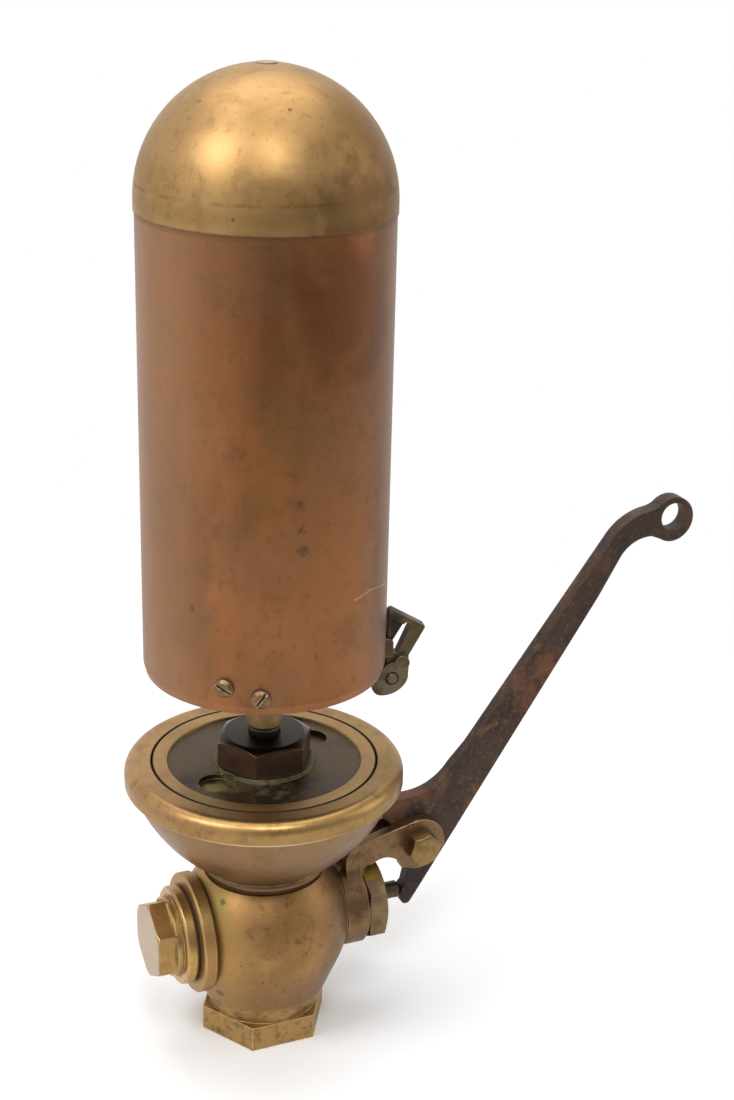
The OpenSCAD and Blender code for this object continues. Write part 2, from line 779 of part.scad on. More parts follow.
module bell_tube() {
    color("#8c5a38")
        difference() {
            union() {
                translate([0, 0, lip_z])
                    cylinder(r1 = bell_r - lip_taper, r2 = bell_r, h = lip_taper_h);
                translate([0, 0, lip_z + lip_taper_h])
                    cylinder(r = bell_r, h = tube_len - lip_taper_h);
            }
            translate([0, 0, lip_z - eps])
                cylinder(r = bell_r - bell_wall, h = tube_len + 2 * eps);
            translate([0, 0, lip_z - eps])
                cylinder(r1 = bell_r - bell_wall + 0.2, r2 = bell_r - bell_wall, h = 0.4);
            for (i = [0 : 1])
                on_tube(i)
                    translate([0, 0, -2 * bell_wall])
                        cylinder(d = screw_d + 2 * seat_gap, h = 4 * bell_wall);
        }
}

module crown_profile() {
    inner_r = crown_r - crown_wall;
    difference() {
        union() {
            translate([0, joint_z])
                square([crown_r, crown_skirt]);
            translate([0, joint_z - spigot_len])
                square([bell_r - bell_wall - seat_gap, spigot_len + eps]);
            intersection() {
                translate([0, dome_z])
                    circle(r = crown_r);
                translate([0, dome_z])
                    square([crown_r, crown_r]);
            }
        }
        translate([0, joint_z - spigot_len - 1])
            square([bell_r - bell_wall - seat_gap - crown_wall, spigot_len + crown_skirt + 1]);
        intersection() {
            translate([0, dome_z])
                circle(r = inner_r);
            translate([0, dome_z - eps])
                square([bell_r - bell_wall - seat_gap - crown_wall, inner_r]);
        }
    }
}

module bell_crown() {
    color("#b08c45")
        difference() {
            union() {
                rotate_extrude()
                    crown_profile();
                translate([0, 0, apex_z - crown_boss_h])
                    cylinder(d = crown_boss_d, h = crown_boss_h - crown_wall);
            }
            translate([0, 0, apex_z - crown_boss_h - 1])
                cylinder(d = crown_thread_d + 2 * seat_gap, h = crown_boss_h - crown_wall - 1);
            translate([0, 0, apex_z - crown_boss_h])
                cylinder(d = stem_tip_d + 2 * seat_gap, h = crown_boss_h + 1);
        }
}

// Places children on the tube's wall, with +Z pointing out, at one of the two screws
module on_tube(i) {
    rotate([0, 0, screw_angles[i]])
        translate([bell_r, 0, lip_z + screw_rises[i]])
            rotate([0, 90, 0])
                children();
}

module bell_screws() {
    slot_turn = [60, -35];
    color("#a88a50")
        for (i = [0 : 1])
            on_tube(i)
                difference() {
                    union() {
                        translate([0, 0, -bell_wall - 3])
                            cylinder(d = screw_d, h = bell_wall + 3.2);
                        translate([0, 0, 0.15])
                            cylinder(d = screw_head_d, h = screw_head_h * 0.6);
                        translate([0, 0, 0.15 + screw_head_h * 0.6 - eps])
                            cylinder(d1 = screw_head_d, d2 = screw_head_d * 0.7, h = screw_head_h * 0.4);
                    }
                    rotate([0, 0, slot_turn[i]])
                        translate([-screw_head_d, -0.5, screw_head_h - 0.7])
                            cube([2 * screw_head_d, 1, 2]);
                }
}

// Places children beside the tube with X pointing out from its wall and Y along the loop's pin
module at_loop() {
    rotate([0, 0, loop_angle])
        translate([bell_r, 0, lip_z])
            children();
}

// Extrudes a profile drawn with the distance from the wall across and Z up
module across_pin(w) {
    translate([0, w / 2, 0])
        rotate([90, 0, 0])
            linear_extrude(w)
                children();
}

module loop_lug() {
    pad_top = 7.4;
    pad_foot = 0.3;
    rib_t = 1.4;
    rib_in = loop_t / 2 + ear_gap;
    rib_out = 3.4;
    pin = [loop_pin_out, -loop_pin_drop];
    pad_w = 2 * (rib_in + rib_t);
    color("#5d5336")
        difference() {
            union() {
                intersection() {
                    at_loop()
                        translate([-4, 0, 0])
                            rotate([0, 90, 0])
                                linear_extrude(4 + rib_out)
                                    translate([-pad_top, -pad_w / 2])
                                        square([pad_top - pad_foot, pad_w]);
                    difference() {
                        translate([0, 0, lip_z])
                            cylinder(r = bell_r + pad_t, h = pad_top + 1);
                        translate([0, 0, lip_z - 1])
                            cylinder(r = bell_r + seat_gap, h = pad_top + 3);
                    }
                }
                at_loop()
                    for (side = [-1, 1])
                        translate([0, side * (rib_in + rib_t / 2), 0])
                            across_pin(rib_t)
                                union() {
                                    translate([0.5, pad_foot])
                                        square([rib_out - 0.5, pad_top - pad_foot - 1.5]);
                                    translate([0.5, pad_top - 2])
                                        square([rib_out - 2, 2]);
                                    translate([rib_out - 1.5, pad_top - 1.5])
                                        circle(r = 1.5);
                                }
                at_loop()
                    across_pin(tongue_t)
                        union() {
                            translate(pin)
                                circle(d = loop_pin_d + 4.2);
                            polygon([[0.5, 3], [pad_t, 3], [pad_t + 0.6, -0.5], pin + [3.6, 1.2],
                                pin + [-3.6, 1.2], [-1.4, -3.5], [-0.4, -0.6], [0.5, -0.4]]);
                        }
            }
            at_loop()
                translate([loop_pin_out, loop_w, -loop_pin_drop])
                    rotate([90, 0, 0])
                        cylinder(d = loop_pin_d + 2 * seat_gap, h = 2 * loop_w);
        }
}

// Flat frame of the loop, drawn with its pin at the centre
module loop_frame_profile() {
    difference() {
        polygon([[-1.7, 4], [-1.8, 16.4], [-1.5, 26.3], [-0.9, 27.2], [0.2, 27.4], [11.6, 20.6],
            [12.4, 20.1], [12.4, 19.4], [6.5, 8.6], [6.6, 6.5], [5.5, 2]]);
        polygon([[4.2, 21.3], [5, 22], [6.3, 22], [7, 21.2], [2.2, 10], [1.5, 9.6],
            [0.6, 9.8], [0.2, 10.6], [0.3, 14.7]]);
    }
}

module loop_web_recess() {
    polygon([[-0.7, 23.4], [0.3, 23.8], [4.2, 21.3], [0.3, 14.7], [-0.7, 15.4]]);
}

// Outline of two discs joined by a straight line above and by a wide arc below
function joined_discs(c1, r1, c2, r2, wide_r) =
    let (d = c2 - c1, n = norm(d), a = atan2(d[1], d[0]), b = acos((r1 - r2) / n),
        p = wide_r - r1, q = wide_r - r2,
        turn = a - acos((p * p + n * n - q * q) / (2 * p * n)),
        mid = c1 + p * [cos(turn), sin(turn)],
        low = atan2(c2[1] - mid[1], c2[0] - mid[0]))
        concat(arc(c2[0], c2[1], r2, a - b, low, 12),
            arc(mid[0], mid[1], wide_r, low + 4, turn + 176, 12),
            arc(c1[0], c1[1], r1, turn + 180, a + 360 - b, 16));

module slotted_loop() {
    slot_w = tongue_t + 2 * ear_gap;
    recess_t = 0.9;
    rivet_r = loop_pin_d / 2 + run_gap;
    hub = [0.75, 0.9];
    lobe = [-3.7, -2.8];
    lobe_r = 3.9;
    belly_r = 9.7;
    boss = [3.7, 6.2];
    boss_r = 2.9;
    color("#5a5138")
        at_loop()
            translate([loop_pin_out, 0, -loop_pin_drop])
                difference() {
                    union() {
                        across_pin(loop_t)
                            loop_frame_profile();
                        across_pin(loop_w)
                            union() {
                                polygon(joined_discs(hub, loop_hub_r, lobe, lobe_r, belly_r));
                                polygon([hub, hub + [loop_hub_r - 0.1, 0], boss + [boss_r - 0.1, 0],
                                    boss - [boss_r - 0.1, 0]]);
                            }
                        across_pin(loop_w + 0.8)
                            translate(boss)
                                circle(r = boss_r);
                    }
                    for (side = [-1, 1])
                        translate([0, side * loop_t / 2, 0])
                            across_pin(2 * recess_t)
                                loop_web_recess();
                    translate([-20, -slot_w / 2, -20])
                        cube([40, slot_w, loop_pin_drop + 18]);
                    translate([-20, -slot_w / 2, -20])
                        cube([20.7, slot_w, loop_pin_drop + 22.6]);
                    translate([0, loop_w, 0])
                        rotate([90, 0, 0])
                            cylinder(r = rivet_r, h = 2 * loop_w);
                    for (side = [0, 1])
                        mirror([0, side, 0])
                            translate([0, loop_w / 2 + eps, 0])
                                rotate([90, 0, 0])
                                    cylinder(r1 = rivet_r + 0.5, r2 = rivet_r, h = 0.5);
                }
}

module loop_pin() {
    end_h = 0.8;
    color("#4b4632")
        at_loop()
            translate([loop_pin_out, 0, -loop_pin_drop])
                rotate([90, 0, 0]) {
                    translate([0, 0, -loop_w / 2])
                        cylinder(d = loop_pin_d, h = loop_w);
                    for (side = [0, 1])
                        mirror([0, 0, side])
                            translate([0, 0, loop_w / 2 - eps])
                                cylinder(d1 = loop_pin_d, d2 = loop_pin_d - 1.4, h = end_h);
                }
}

valve_body();
seat_ring();
valve_disc();
disc_nut();
valve_stem();
valve_spring();
valve_cap();
cap_gasket();
bonnet();
lever_bracket();
lever();
pivot_bolt();
pivot_washer();
pivot_nut();
cup();
languid_plate();
plate_nut();
bell_stem();
bell_tube();
bell_crown();
bell_screws();
loop_lug();
slotted_loop();
loop_pin();
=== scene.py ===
import json
import math

import bpy
from mathutils import Matrix, Vector


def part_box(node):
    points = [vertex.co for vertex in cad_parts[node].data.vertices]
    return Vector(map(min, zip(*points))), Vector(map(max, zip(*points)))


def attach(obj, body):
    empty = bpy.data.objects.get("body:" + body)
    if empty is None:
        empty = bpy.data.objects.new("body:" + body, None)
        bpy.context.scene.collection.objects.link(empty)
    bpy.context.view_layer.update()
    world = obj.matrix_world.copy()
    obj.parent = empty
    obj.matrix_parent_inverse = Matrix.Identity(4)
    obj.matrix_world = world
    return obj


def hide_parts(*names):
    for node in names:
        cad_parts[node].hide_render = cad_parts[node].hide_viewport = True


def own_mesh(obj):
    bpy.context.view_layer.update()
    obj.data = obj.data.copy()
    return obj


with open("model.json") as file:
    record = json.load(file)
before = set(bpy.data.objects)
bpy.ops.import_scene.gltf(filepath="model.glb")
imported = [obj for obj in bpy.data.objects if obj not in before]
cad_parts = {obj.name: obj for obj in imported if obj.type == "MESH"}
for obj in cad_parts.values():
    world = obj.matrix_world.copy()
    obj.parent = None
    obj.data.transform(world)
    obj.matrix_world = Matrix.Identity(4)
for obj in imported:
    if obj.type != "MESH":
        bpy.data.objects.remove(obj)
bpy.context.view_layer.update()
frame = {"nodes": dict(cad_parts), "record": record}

MM = 0.001

# Sizes and places on the whistle, in metres
TUBE_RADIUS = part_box("bell_tube")[1].x
LIP_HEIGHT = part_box("bell_tube")[0].z
CROWN_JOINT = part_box("bell_tube")[1].z
RIM_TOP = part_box("cup")[1].z
RIM_FOOT = RIM_TOP - 9.8 * MM
CUP_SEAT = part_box("cup")[0].z
PLATE_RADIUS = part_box("languid_plate")[1].x
RECESS_RADIUS = PLATE_RADIUS - 5.7 * MM
STEAM_SLOT = 0.6 * MM
CAP_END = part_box("valve_cap")[0].x
NUT_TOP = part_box("plate_nut")[1].z
DARK_THREAD = 2.1 * MM
# Heights over which the body's finish changes to the paler one of its foot
FOOT_TOP, FOOT_FULL = 19 * MM, 16 * MM
# Distances along the boss over which the body's edges go from rubbed to dull
BOSS_NEAR, BOSS_FAR = 18 * MM, 22 * MM


def colour(hex_code):
    """A colour written as six sRGB digits, as linear red, green, blue and alpha."""
    parts = [int(hex_code[i:i + 2], 16) / 255 for i in (0, 2, 4)]
    return [c / 12.92 if c <= 0.04045 else ((c + 0.055) / 1.055) ** 2.4 for c in parts] + [1.0]


def put(tree, kind, inputs=None, **settings):
    """A node of a kind, with its settings, and its inputs set or linked."""
    node = tree.nodes.new(kind)
    for key, value in settings.items():
        setattr(node, key, value)
    for key, value in (inputs or {}).items():
        socket = node.inputs[key]
        if isinstance(value, bpy.types.NodeSocket):
            tree.links.new(value, socket)
        else:
            socket.default_value = value
    return node


def maths(tree, operation, *values, clamp=False):
    """The result of a maths node on numbers or sockets."""
    return put(tree, "ShaderNodeMath", dict(enumerate(values)), operation=operation,
               use_clamp=clamp).outputs[0]


def remap(tree, value, low, high, to_low=0.0, to_high=1.0):
    """A value moved smoothly from one range to another, and held inside it."""
    return put(tree, "ShaderNodeMapRange",
               {"Value": value, "From Min": low, "From Max": high,
                "To Min": to_low, "To Max": to_high},
               interpolation_type="SMOOTHSTEP").outputs["Result"]


def blend_colour(tree, mask, under, over):
    """Two colours mixed by a mask."""
    return put(tree, "ShaderNodeMix", {0: mask, 6: under, 7: over}, data_type="RGBA").outputs[2]


def blend_value(tree, mask, under, over):
    """Two numbers mixed by a mask."""
    return put(tree, "ShaderNodeMix", {0: mask, 2: under, 3: over}, data_type="FLOAT").outputs[0]


def times(tree, first, second):
    """Two values or masks multiplied."""
    return maths(tree, "MULTIPLY", first, second)


def thin_out(tree, mask, grain, low, high, least):
    """A mask that a grain thins, down to a least share where the grain is low."""
    return times(tree, mask, remap(tree, grain, low, high, least, 1.0))


SOCKETS = {"vector": "NodeSocketVector", "value": "NodeSocketFloat"}


def new_effect(name, inputs, outputs):
    """An empty node group with named inputs and outputs."""
    tree = bpy.data.node_groups.new(name, "ShaderNodeTree")
    for label, (kind, default) in inputs.items():
        socket = tree.interface.new_socket(name=label, in_out="INPUT", socket_type=SOCKETS[kind])
        if default is not None:
            socket.default_value = default
    for label in outputs:
        tree.interface.new_socket(name=label, in_out="OUTPUT", socket_type=SOCKETS["value"])
    entry = tree.nodes.new("NodeGroupInput").outputs
    leave = tree.nodes.new("NodeGroupOutput").inputs
    return tree, entry, leave


def use_effect(tree, effect, **inputs):
    """A shared effect placed in a material, with its own values."""
    named = {key.replace("_", " ").capitalize(): value for key, value in inputs.items()}
    return put(tree, "ShaderNodeGroup", named, node_tree=effect).outputs


# Noise cells to the metre of the grain in the dirt and painted shade and in scratches, and to a
# patch's radius
DIRT_SHADE_GRAIN = 260.0
SCRATCH_GRAIN = 700.0
PATCH_GRAIN = 2.2
# How much a patch's ragged edge is pushed about by the noise
PATCH_PUSH = 3.0
# Share of a patch's radius and of a scratch's width where they begin and where they are full
PATCH_BEGINS, PATCH_FULL = 1.0, 0.35
SCRATCH_BEGINS, SCRATCH_FULL = 1.0, 0.4
# Cosine between the rounded and the flat surface where wear begins and where it is full
WEAR_BEGINS, WEAR_FULL = 0.995, 0.86
# Share of open sky where the dirt and painted shade begin and where they are full
DIRT_SHADE_BEGINS, DIRT_SHADE_FULL = 0.92, 0.45
# Distance from a pit's middle, in cells, where it begins and where it is darkest
PIT_BEGINS, PIT_FULL = 0.32, 0.12


def make_stain_clouds():
    """Soft cloudy stains of a given size."""
    tree, entry, leave = new_effect("Stain clouds", {
        "Place": ("vector", None), "Size": ("value", 20 * MM), "Seed": ("value", 0.0),
        "Low": ("value", 0.4), "High": ("value", 0.6), "Detail": ("value", 5.0)}, ["Mask"])
    offset = put(tree, "ShaderNodeCombineXYZ", {0: entry["Seed"], 1: entry["Seed"]}).outputs[0]
    moved = put(tree, "ShaderNodeVectorMath", {0: entry["Place"], 1: offset}, operation="ADD")
    scale = maths(tree, "DIVIDE", 1.0, entry["Size"])
    noise = put(tree, "ShaderNodeTexNoise", {
        "Vector": moved.outputs[0], "Scale": scale, "Detail": entry["Detail"],
        "Roughness": 0.58, "Distortion": 0.35})
    tree.links.new(remap(tree, noise.outputs["Fac"], entry["Low"], entry["High"]), leave["Mask"])
    return tree


def make_worn_edges():
    """Edges rubbed bright, broken up by a fine grain."""
    tree, entry, leave = new_effect("Worn edges", {
        "Place": ("vector", None), "Width": ("value", 0.6 * MM), "Break size": ("value", 4 * MM),
        "Amount": ("value", 1.0)}, ["Mask"])
    rounded = put(tree, "ShaderNodeBevel", {"Radius": entry["Width"]}, samples=6).outputs[0]
    flat = put(tree, "ShaderNodeNewGeometry").outputs["Normal"]
    agree = put(tree, "ShaderNodeVectorMath", {0: rounded, 1: flat}, operation="DOT_PRODUCT")
    edge = remap(tree, agree.outputs["Value"], WEAR_BEGINS, WEAR_FULL)
    scale = maths(tree, "DIVIDE", 1.0, entry["Break size"])
    grain = put(tree, "ShaderNodeTexNoise", {
        "Vector": entry["Place"], "Scale": scale, "Detail": 4.0}).outputs["Fac"]
    broken = thin_out(tree, edge, grain, low=0.32, high=0.58, least=0.25)
    tree.links.new(maths(tree, "MULTIPLY", broken, entry["Amount"], clamp=True), leave["Mask"])
    return tree


def make_crevice_dirt_and_shade():
    """Dirt and painted shade that gather in corners, by how closed in the surface is."""
    tree, entry, leave = new_effect("Crevice dirt and shade", {
        "Place": ("vector", None), "Reach": ("value", 4 * MM), "Amount": ("value", 1.0)}, ["Mask"])
    open_sky = put(tree, "ShaderNodeAmbientOcclusion", {"Distance": entry["Reach"]},
                   samples=8).outputs["AO"]
    closed = remap(tree, open_sky, DIRT_SHADE_BEGINS, DIRT_SHADE_FULL)
    grain = put(tree, "ShaderNodeTexNoise", {
        "Vector": entry["Place"], "Scale": DIRT_SHADE_GRAIN, "Detail": 3.0}).outputs["Fac"]
    uneven = thin_out(tree, closed, grain, low=0.3, high=0.65, least=0.55)
    tree.links.new(maths(tree, "MULTIPLY", uneven, entry["Amount"], clamp=True), leave["Mask"])
    return tree


def make_fine_pits():
    """Small dark pits, sparse and uneven."""
    tree, entry, leave = new_effect("Fine pits", {
        "Place": ("vector", None), "Size": ("value", 2 * MM), "Share": ("value", 0.3),
        "Seed": ("value", 0.0)}, ["Mask"])
    offset = put(tree, "ShaderNodeCombineXYZ", {1: entry["Seed"], 2: entry["Seed"]}).outputs[0]
    moved = put(tree, "ShaderNodeVectorMath", {0: entry["Place"], 1: offset},
                operation="ADD").outputs[0]
    scale = maths(tree, "DIVIDE", 1.0, entry["Size"])
    cells = put(tree, "ShaderNodeTexVoronoi", {"Vector": moved, "Scale": scale})
    dot = remap(tree, cells.outputs["Distance"], PIT_BEGINS, PIT_FULL)
    lone = put(tree, "ShaderNodeSeparateColor", {0: cells.outputs["Color"]}).outputs[0]
    chosen = maths(tree, "LESS_THAN", lone, entry["Share"])
    tree.links.new(times(tree, dot, chosen), leave["Mask"])
    return tree


def make_ragged_patch():
    """One patch with a ragged edge at a given place."""
    tree, entry, leave = new_effect("Ragged patch", {
        "Place": ("vector", None), "Centre": ("vector", None), "Radius": ("value", 5 * MM),
        "Ragged": ("value", 0.6)}, ["Mask"])
    scale = maths(tree, "DIVIDE", PATCH_GRAIN, entry["Radius"])
    noise = put(tree, "ShaderNodeTexNoise", {
        "Vector": entry["Place"], "Scale": scale, "Detail": 4.0}).outputs["Fac"]
    away = put(tree, "ShaderNodeVectorMath", {0: entry["Place"], 1: entry["Centre"]},
               operation="DISTANCE").outputs["Value"]
    share = maths(tree, "DIVIDE", away, entry["Radius"])
    push = times(tree, maths(tree, "SUBTRACT", noise, 0.5),
                 times(tree, entry["Ragged"], PATCH_PUSH))
    rough_share = maths(tree, "ADD", share, push)
    tree.links.new(remap(tree, rough_share, PATCH_BEGINS, PATCH_FULL), leave["Mask"])
    return tree


def make_level_band():
    """A soft band between two heights or two distances."""
    tree, entry, leave = new_effect("Level band", {
        "Level": ("value", 0.0), "Low": ("value", 0.0), "High": ("value", 10 * MM),
        "Soft": ("value", 1 * MM)}, ["Mask"])
    half = times(tree, entry["Soft"], 0.5)
    rise = remap(tree, entry["Level"], maths(tree, "SUBTRACT", entry["Low"], half),
                 maths(tree, "ADD", entry["Low"], half))
    fall = remap(tree, entry["Level"], maths(tree, "SUBTRACT", entry["High"], half),
                 maths(tree, "ADD", entry["High"], half), 1.0, 0.0)
    tree.links.new(times(tree, rise, fall), leave["Mask"])
    return tree


def make_fine_scratch():
    """A thin scratch from one place to another, broken along its length."""
    tree, entry, leave = new_effect("Fine scratch", {
        "Place": ("vector", None), "Start": ("vector", None), "Along": ("vector", None),
        "Width": ("value", 0.3 * MM)}, ["Mask"])
    from_start = put(tree, "ShaderNodeVectorMath", {0: entry["Place"], 1: entry["Start"]},
                     operation="SUBTRACT").outputs[0]
    reach = put(tree, "ShaderNodeVectorMath", {0: from_start, 1: entry["Along"]},
                operation="DOT_PRODUCT").outputs["Value"]
    length = put(tree, "ShaderNodeVectorMath", {0: entry["Along"], 1: entry["Along"]},
                 operation="DOT_PRODUCT").outputs["Value"]
    share = maths(tree, "DIVIDE", reach, length, clamp=True)
    nearest = put(tree, "ShaderNodeVectorMath", {0: entry["Along"], "Scale": share},
                  operation="SCALE").outputs[0]
    away = put(tree, "ShaderNodeVectorMath", {0: from_start, 1: nearest},
               operation="DISTANCE").outputs["Value"]
    grain = put(tree, "ShaderNodeTexNoise", {
        "Vector": entry["Place"], "Scale": SCRATCH_GRAIN, "Detail": 3.0}).outputs["Fac"]
    width_share = maths(tree, "DIVIDE", away, entry["Width"])
    line = remap(tree, width_share, SCRATCH_BEGINS, SCRATCH_FULL)
    tree.links.new(thin_out(tree, line, grain, low=0.36, high=0.6, least=0.25), leave["Mask"])
    return tree


# Scale of the turning marks' pattern across the axis, which draws them out round it
RING_STRETCH = 0.04


def make_turning_marks():
    """Fine turning marks, level all round the upright axis."""
    tree, entry, leave = new_effect("Turning marks", {
        "Place": ("vector", None), "Size": ("value", 1 * MM)}, ["Mark"])
    level = put(tree, "ShaderNodeVectorMath", {
        0: entry["Place"], 1: (RING_STRETCH, RING_STRETCH, 1.0)}, operation="MULTIPLY").outputs[0]
    scale = maths(tree, "DIVIDE", 1.0, entry["Size"])
    noise = put(tree, "ShaderNodeTexNoise", {
        "Vector": level, "Scale": scale, "Detail": 5.0, "Roughness": 0.7}).outputs["Fac"]
    tree.links.new(noise, leave["Mark"])
    return tree


def make_cast_grain():
    """Uneven surface, as of a casting."""
    tree, entry, leave = new_effect("Cast grain", {
        "Place": ("vector", None), "Size": ("value", 2 * MM), "Detail": ("value", 4.0)}, ["Height"])
    scale = maths(tree, "DIVIDE", 1.0, entry["Size"])
    noise = put(tree, "ShaderNodeTexNoise", {
        "Vector": entry["Place"], "Scale": scale, "Detail": entry["Detail"]}).outputs["Fac"]
    tree.links.new(noise, leave["Height"])
    return tree


# The darker sides of the room: bearing, where the side begins and is full, and its level
ROOM_SIDES = (((0.035, -0.999, 0.0), 0.5, 0.95, 0.32), ((0.94, -0.34, 0.0), 0.5, 0.95, 0.5))
# Sine of the height where the ceiling begins and where it is full, and its level
CEILING_BEGINS, CEILING_FULL = 0.45, 0.85
CEILING_LEVEL = 0.7


def make_room_brightness():
    """How bright the room is in a direction: white, with two darker sides and a grey ceiling."""
    tree, entry, leave = new_effect("Room brightness", {"Direction": ("vector", None)},
                                    ["Brightness"])
    flat = put(tree, "ShaderNodeVectorMath", {0: entry["Direction"], 1: (1.0, 1.0, 0.0)},
               operation="MULTIPLY").outputs[0]
    bearing = put(tree, "ShaderNodeVectorMath", {0: flat}, operation="NORMALIZE").outputs[0]
    levels = []
    for side, low, high, level in ROOM_SIDES:
        facing = put(tree, "ShaderNodeVectorMath", {0: bearing, 1: side},
                     operation="DOT_PRODUCT").outputs["Value"]
        levels.append(remap(tree, facing, low, high, 1.0, level))
    level = maths(tree, "MINIMUM", *levels)
    height = put(tree, "ShaderNodeSeparateXYZ", {0: entry["Direction"]}).outputs[2]
    above = remap(tree, height, CEILING_BEGINS, CEILING_FULL)
    tree.links.new(blend_value(tree, above, level, CEILING_LEVEL), leave["Brightness"])
    return tree


STAIN = make_stain_clouds()
WEAR = make_worn_edges()
DIRT_AND_SHADE = make_crevice_dirt_and_shade()
PITS = make_fine_pits()
PATCH = make_ragged_patch()
BAND = make_level_band()
SCRATCH = make_fine_scratch()
RINGS = make_turning_marks()
GRAIN = make_cast_grain()
ROOM = make_room_brightness()


# Levels of the turning marks between which their crests take a tone
CREST_BEGINS, CREST_FULL = 0.5, 0.72
# Foot of the steam slot's dark edge of painted shade, a height above the rim, and how softly the
# edge ends
SLOT_EDGE_FOOT, SLOT_EDGE_TOP, SLOT_EDGE_SOFT = RIM_TOP - 1 * MM, RIM_TOP + 1 * MM, 0.4 * MM


class Finish:
    """A finish that is built up in layers over one Principled surface.

    A tone is a colour as six sRGB digits, a share is from 0 to 1, and a seed picks one of many
    patterns. Low and high are the two levels between which a layer comes in.
    """

    def __init__(self, name, base, rough, metallic=1.0):
        """A plain surface, on which the layers are laid."""
        self.material = bpy.data.materials.new(name)
        self.material.use_nodes = True
        self.tree = self.material.node_tree
        self.tree.nodes.clear()
        out = self.tree.nodes.new("ShaderNodeOutputMaterial")
        self.shader = self.tree.nodes.new("ShaderNodeBsdfPrincipled")
        self.tree.links.new(self.shader.outputs[0], out.inputs[0])
        self.place = self.tree.nodes.new("ShaderNodeTexCoord").outputs["Object"]
        self.x, self.y, self.z = put(self.tree, "ShaderNodeSeparateXYZ", {0: self.place}).outputs
        squares = maths(self.tree, "ADD", times(self.tree, self.x, self.x),
                        times(self.tree, self.y, self.y))
        self.radius = maths(self.tree, "SQRT", squares)
        self.colour = colour(base)
        self.rough = rough
        self.metal = metallic
        self.heights = []

    def both(self, first, second):
        """A mask where two masks meet."""
        return times(self.tree, first, second)

    def lay(self, mask, tone, rough=None, metal=None, share=1.0):
        """One more layer of colour, roughness or metal where the mask is white."""
        if share != 1.0:
            mask = times(self.tree, mask, share)
        self.colour = blend_colour(self.tree, mask, self.colour, colour(tone))
        if rough is not None:
            self.rough = blend_value(self.tree, mask, self.rough, rough)
        if metal is not None:
            self.metal = blend_value(self.tree, mask, self.metal, metal)

    def clouds(self, size, seed, low, high, place=None, detail=5.0):
        """Mask of cloudy stains, which come in between two levels of their noise."""
        return use_effect(self.tree, STAIN, place=place or self.place, size=size, seed=seed,
                          low=low, high=high, detail=detail)["Mask"]

    def between(self, level, low, high, soft):
        """Mask between two heights or distances."""
        return use_effect(self.tree, BAND, level=level, low=low, high=high, soft=soft)["Mask"]

    def spot(self, centre, radius, ragged):
        """Mask of a ragged spot, with its centre and radius in millimetres."""
        return use_effect(self.tree, PATCH, place=self.place, centre=[c * MM for c in centre],
                          radius=radius * MM, ragged=ragged)["Mask"]

    def stain(self, size, seed, low, high, tone, rough=None, metal=None, share=1.0, place=None):
        """Cloudy stains all over."""
        self.lay(self.clouds(size, seed, low, high, place), tone, rough, metal, share)

    def band(self, level, low, high, soft, tone, rough=None, metal=None, share=1.0):
        """A tone between two heights or distances."""
        self.lay(self.between(level, low, high, soft), tone, rough, metal, share)

    def patch(self, centre, radius, tone, share, ragged, rough=0.7, metal=0.3):
        """A ragged patch, with its centre and radius in millimetres."""
        self.lay(self.spot(centre, radius, ragged), tone, rough, metal, share)

    def fade(self, level, low, high, tone, share, rough=None):
        """A tone that grows from one height or distance to another."""
        self.lay(remap(self.tree, level, low, high), tone, rough, share=share)

    def wear(self, tone, width, amount, rough=None, where=1.0):
        """Edges rubbed bright."""
        mask = use_effect(self.tree, WEAR, place=self.place, width=width, amount=amount,
                          break_size=4 * MM)["Mask"]
        self.lay(self.both(mask, where), tone, rough)

    def dirt_and_shade(self, tone, reach, amount):
        """Dirt and painted shade in the corners."""
        mask = use_effect(self.tree, DIRT_AND_SHADE, place=self.place, reach=reach, amount=amount)["Mask"]
        self.lay(mask, tone, rough=0.8, metal=0.2)

    def pits(self, tone, size, share, seed, depth):
        """Small dark pits, which dent the surface."""
        mask = use_effect(self.tree, PITS, place=self.place, size=size, share=share,
                          seed=seed)["Mask"]
        self.heights.append(times(self.tree, mask, -depth))
        self.lay(mask, tone, rough=0.7)

    def scratch(self, place, start, end, width, tone, share):
        """A scratch in the space of a vector socket, with its ends in millimetres."""
        mask = use_effect(self.tree, SCRATCH, place=place, start=[c * MM for c in start],
                          along=[(b - a) * MM for a, b in zip(start, end)], width=width)["Mask"]
        self.lay(mask, tone, share=share)

    def slot_edge(self, inner, outer):
        """Painted shade as a dark edge of the steam slot, between two distances at the height of
        the rim.
        """
        across = self.between(self.radius, inner, outer, soft=0.1 * MM)
        upper = self.between(self.z, SLOT_EDGE_FOOT, SLOT_EDGE_TOP, soft=SLOT_EDGE_SOFT)
        self.lay(self.both(across, upper), "1c1610", rough=0.7, share=0.85)

    def rings(self, size, depth, tone=None, share=0.3):
        """Fine turning marks, with a tone on their crests."""
        mark = use_effect(self.tree, RINGS, place=self.place, size=size)["Mark"]
        self.heights.append(times(self.tree, mark, depth))
        if tone:
            self.lay(remap(self.tree, mark, CREST_BEGINS, CREST_FULL), tone, share=share)

    def grain(self, size, depth, detail=4.0):
        """Uneven surface, as of a casting."""
        height = use_effect(self.tree, GRAIN, place=self.place, size=size, detail=detail)["Height"]
        self.heights.append(times(self.tree, height, depth))

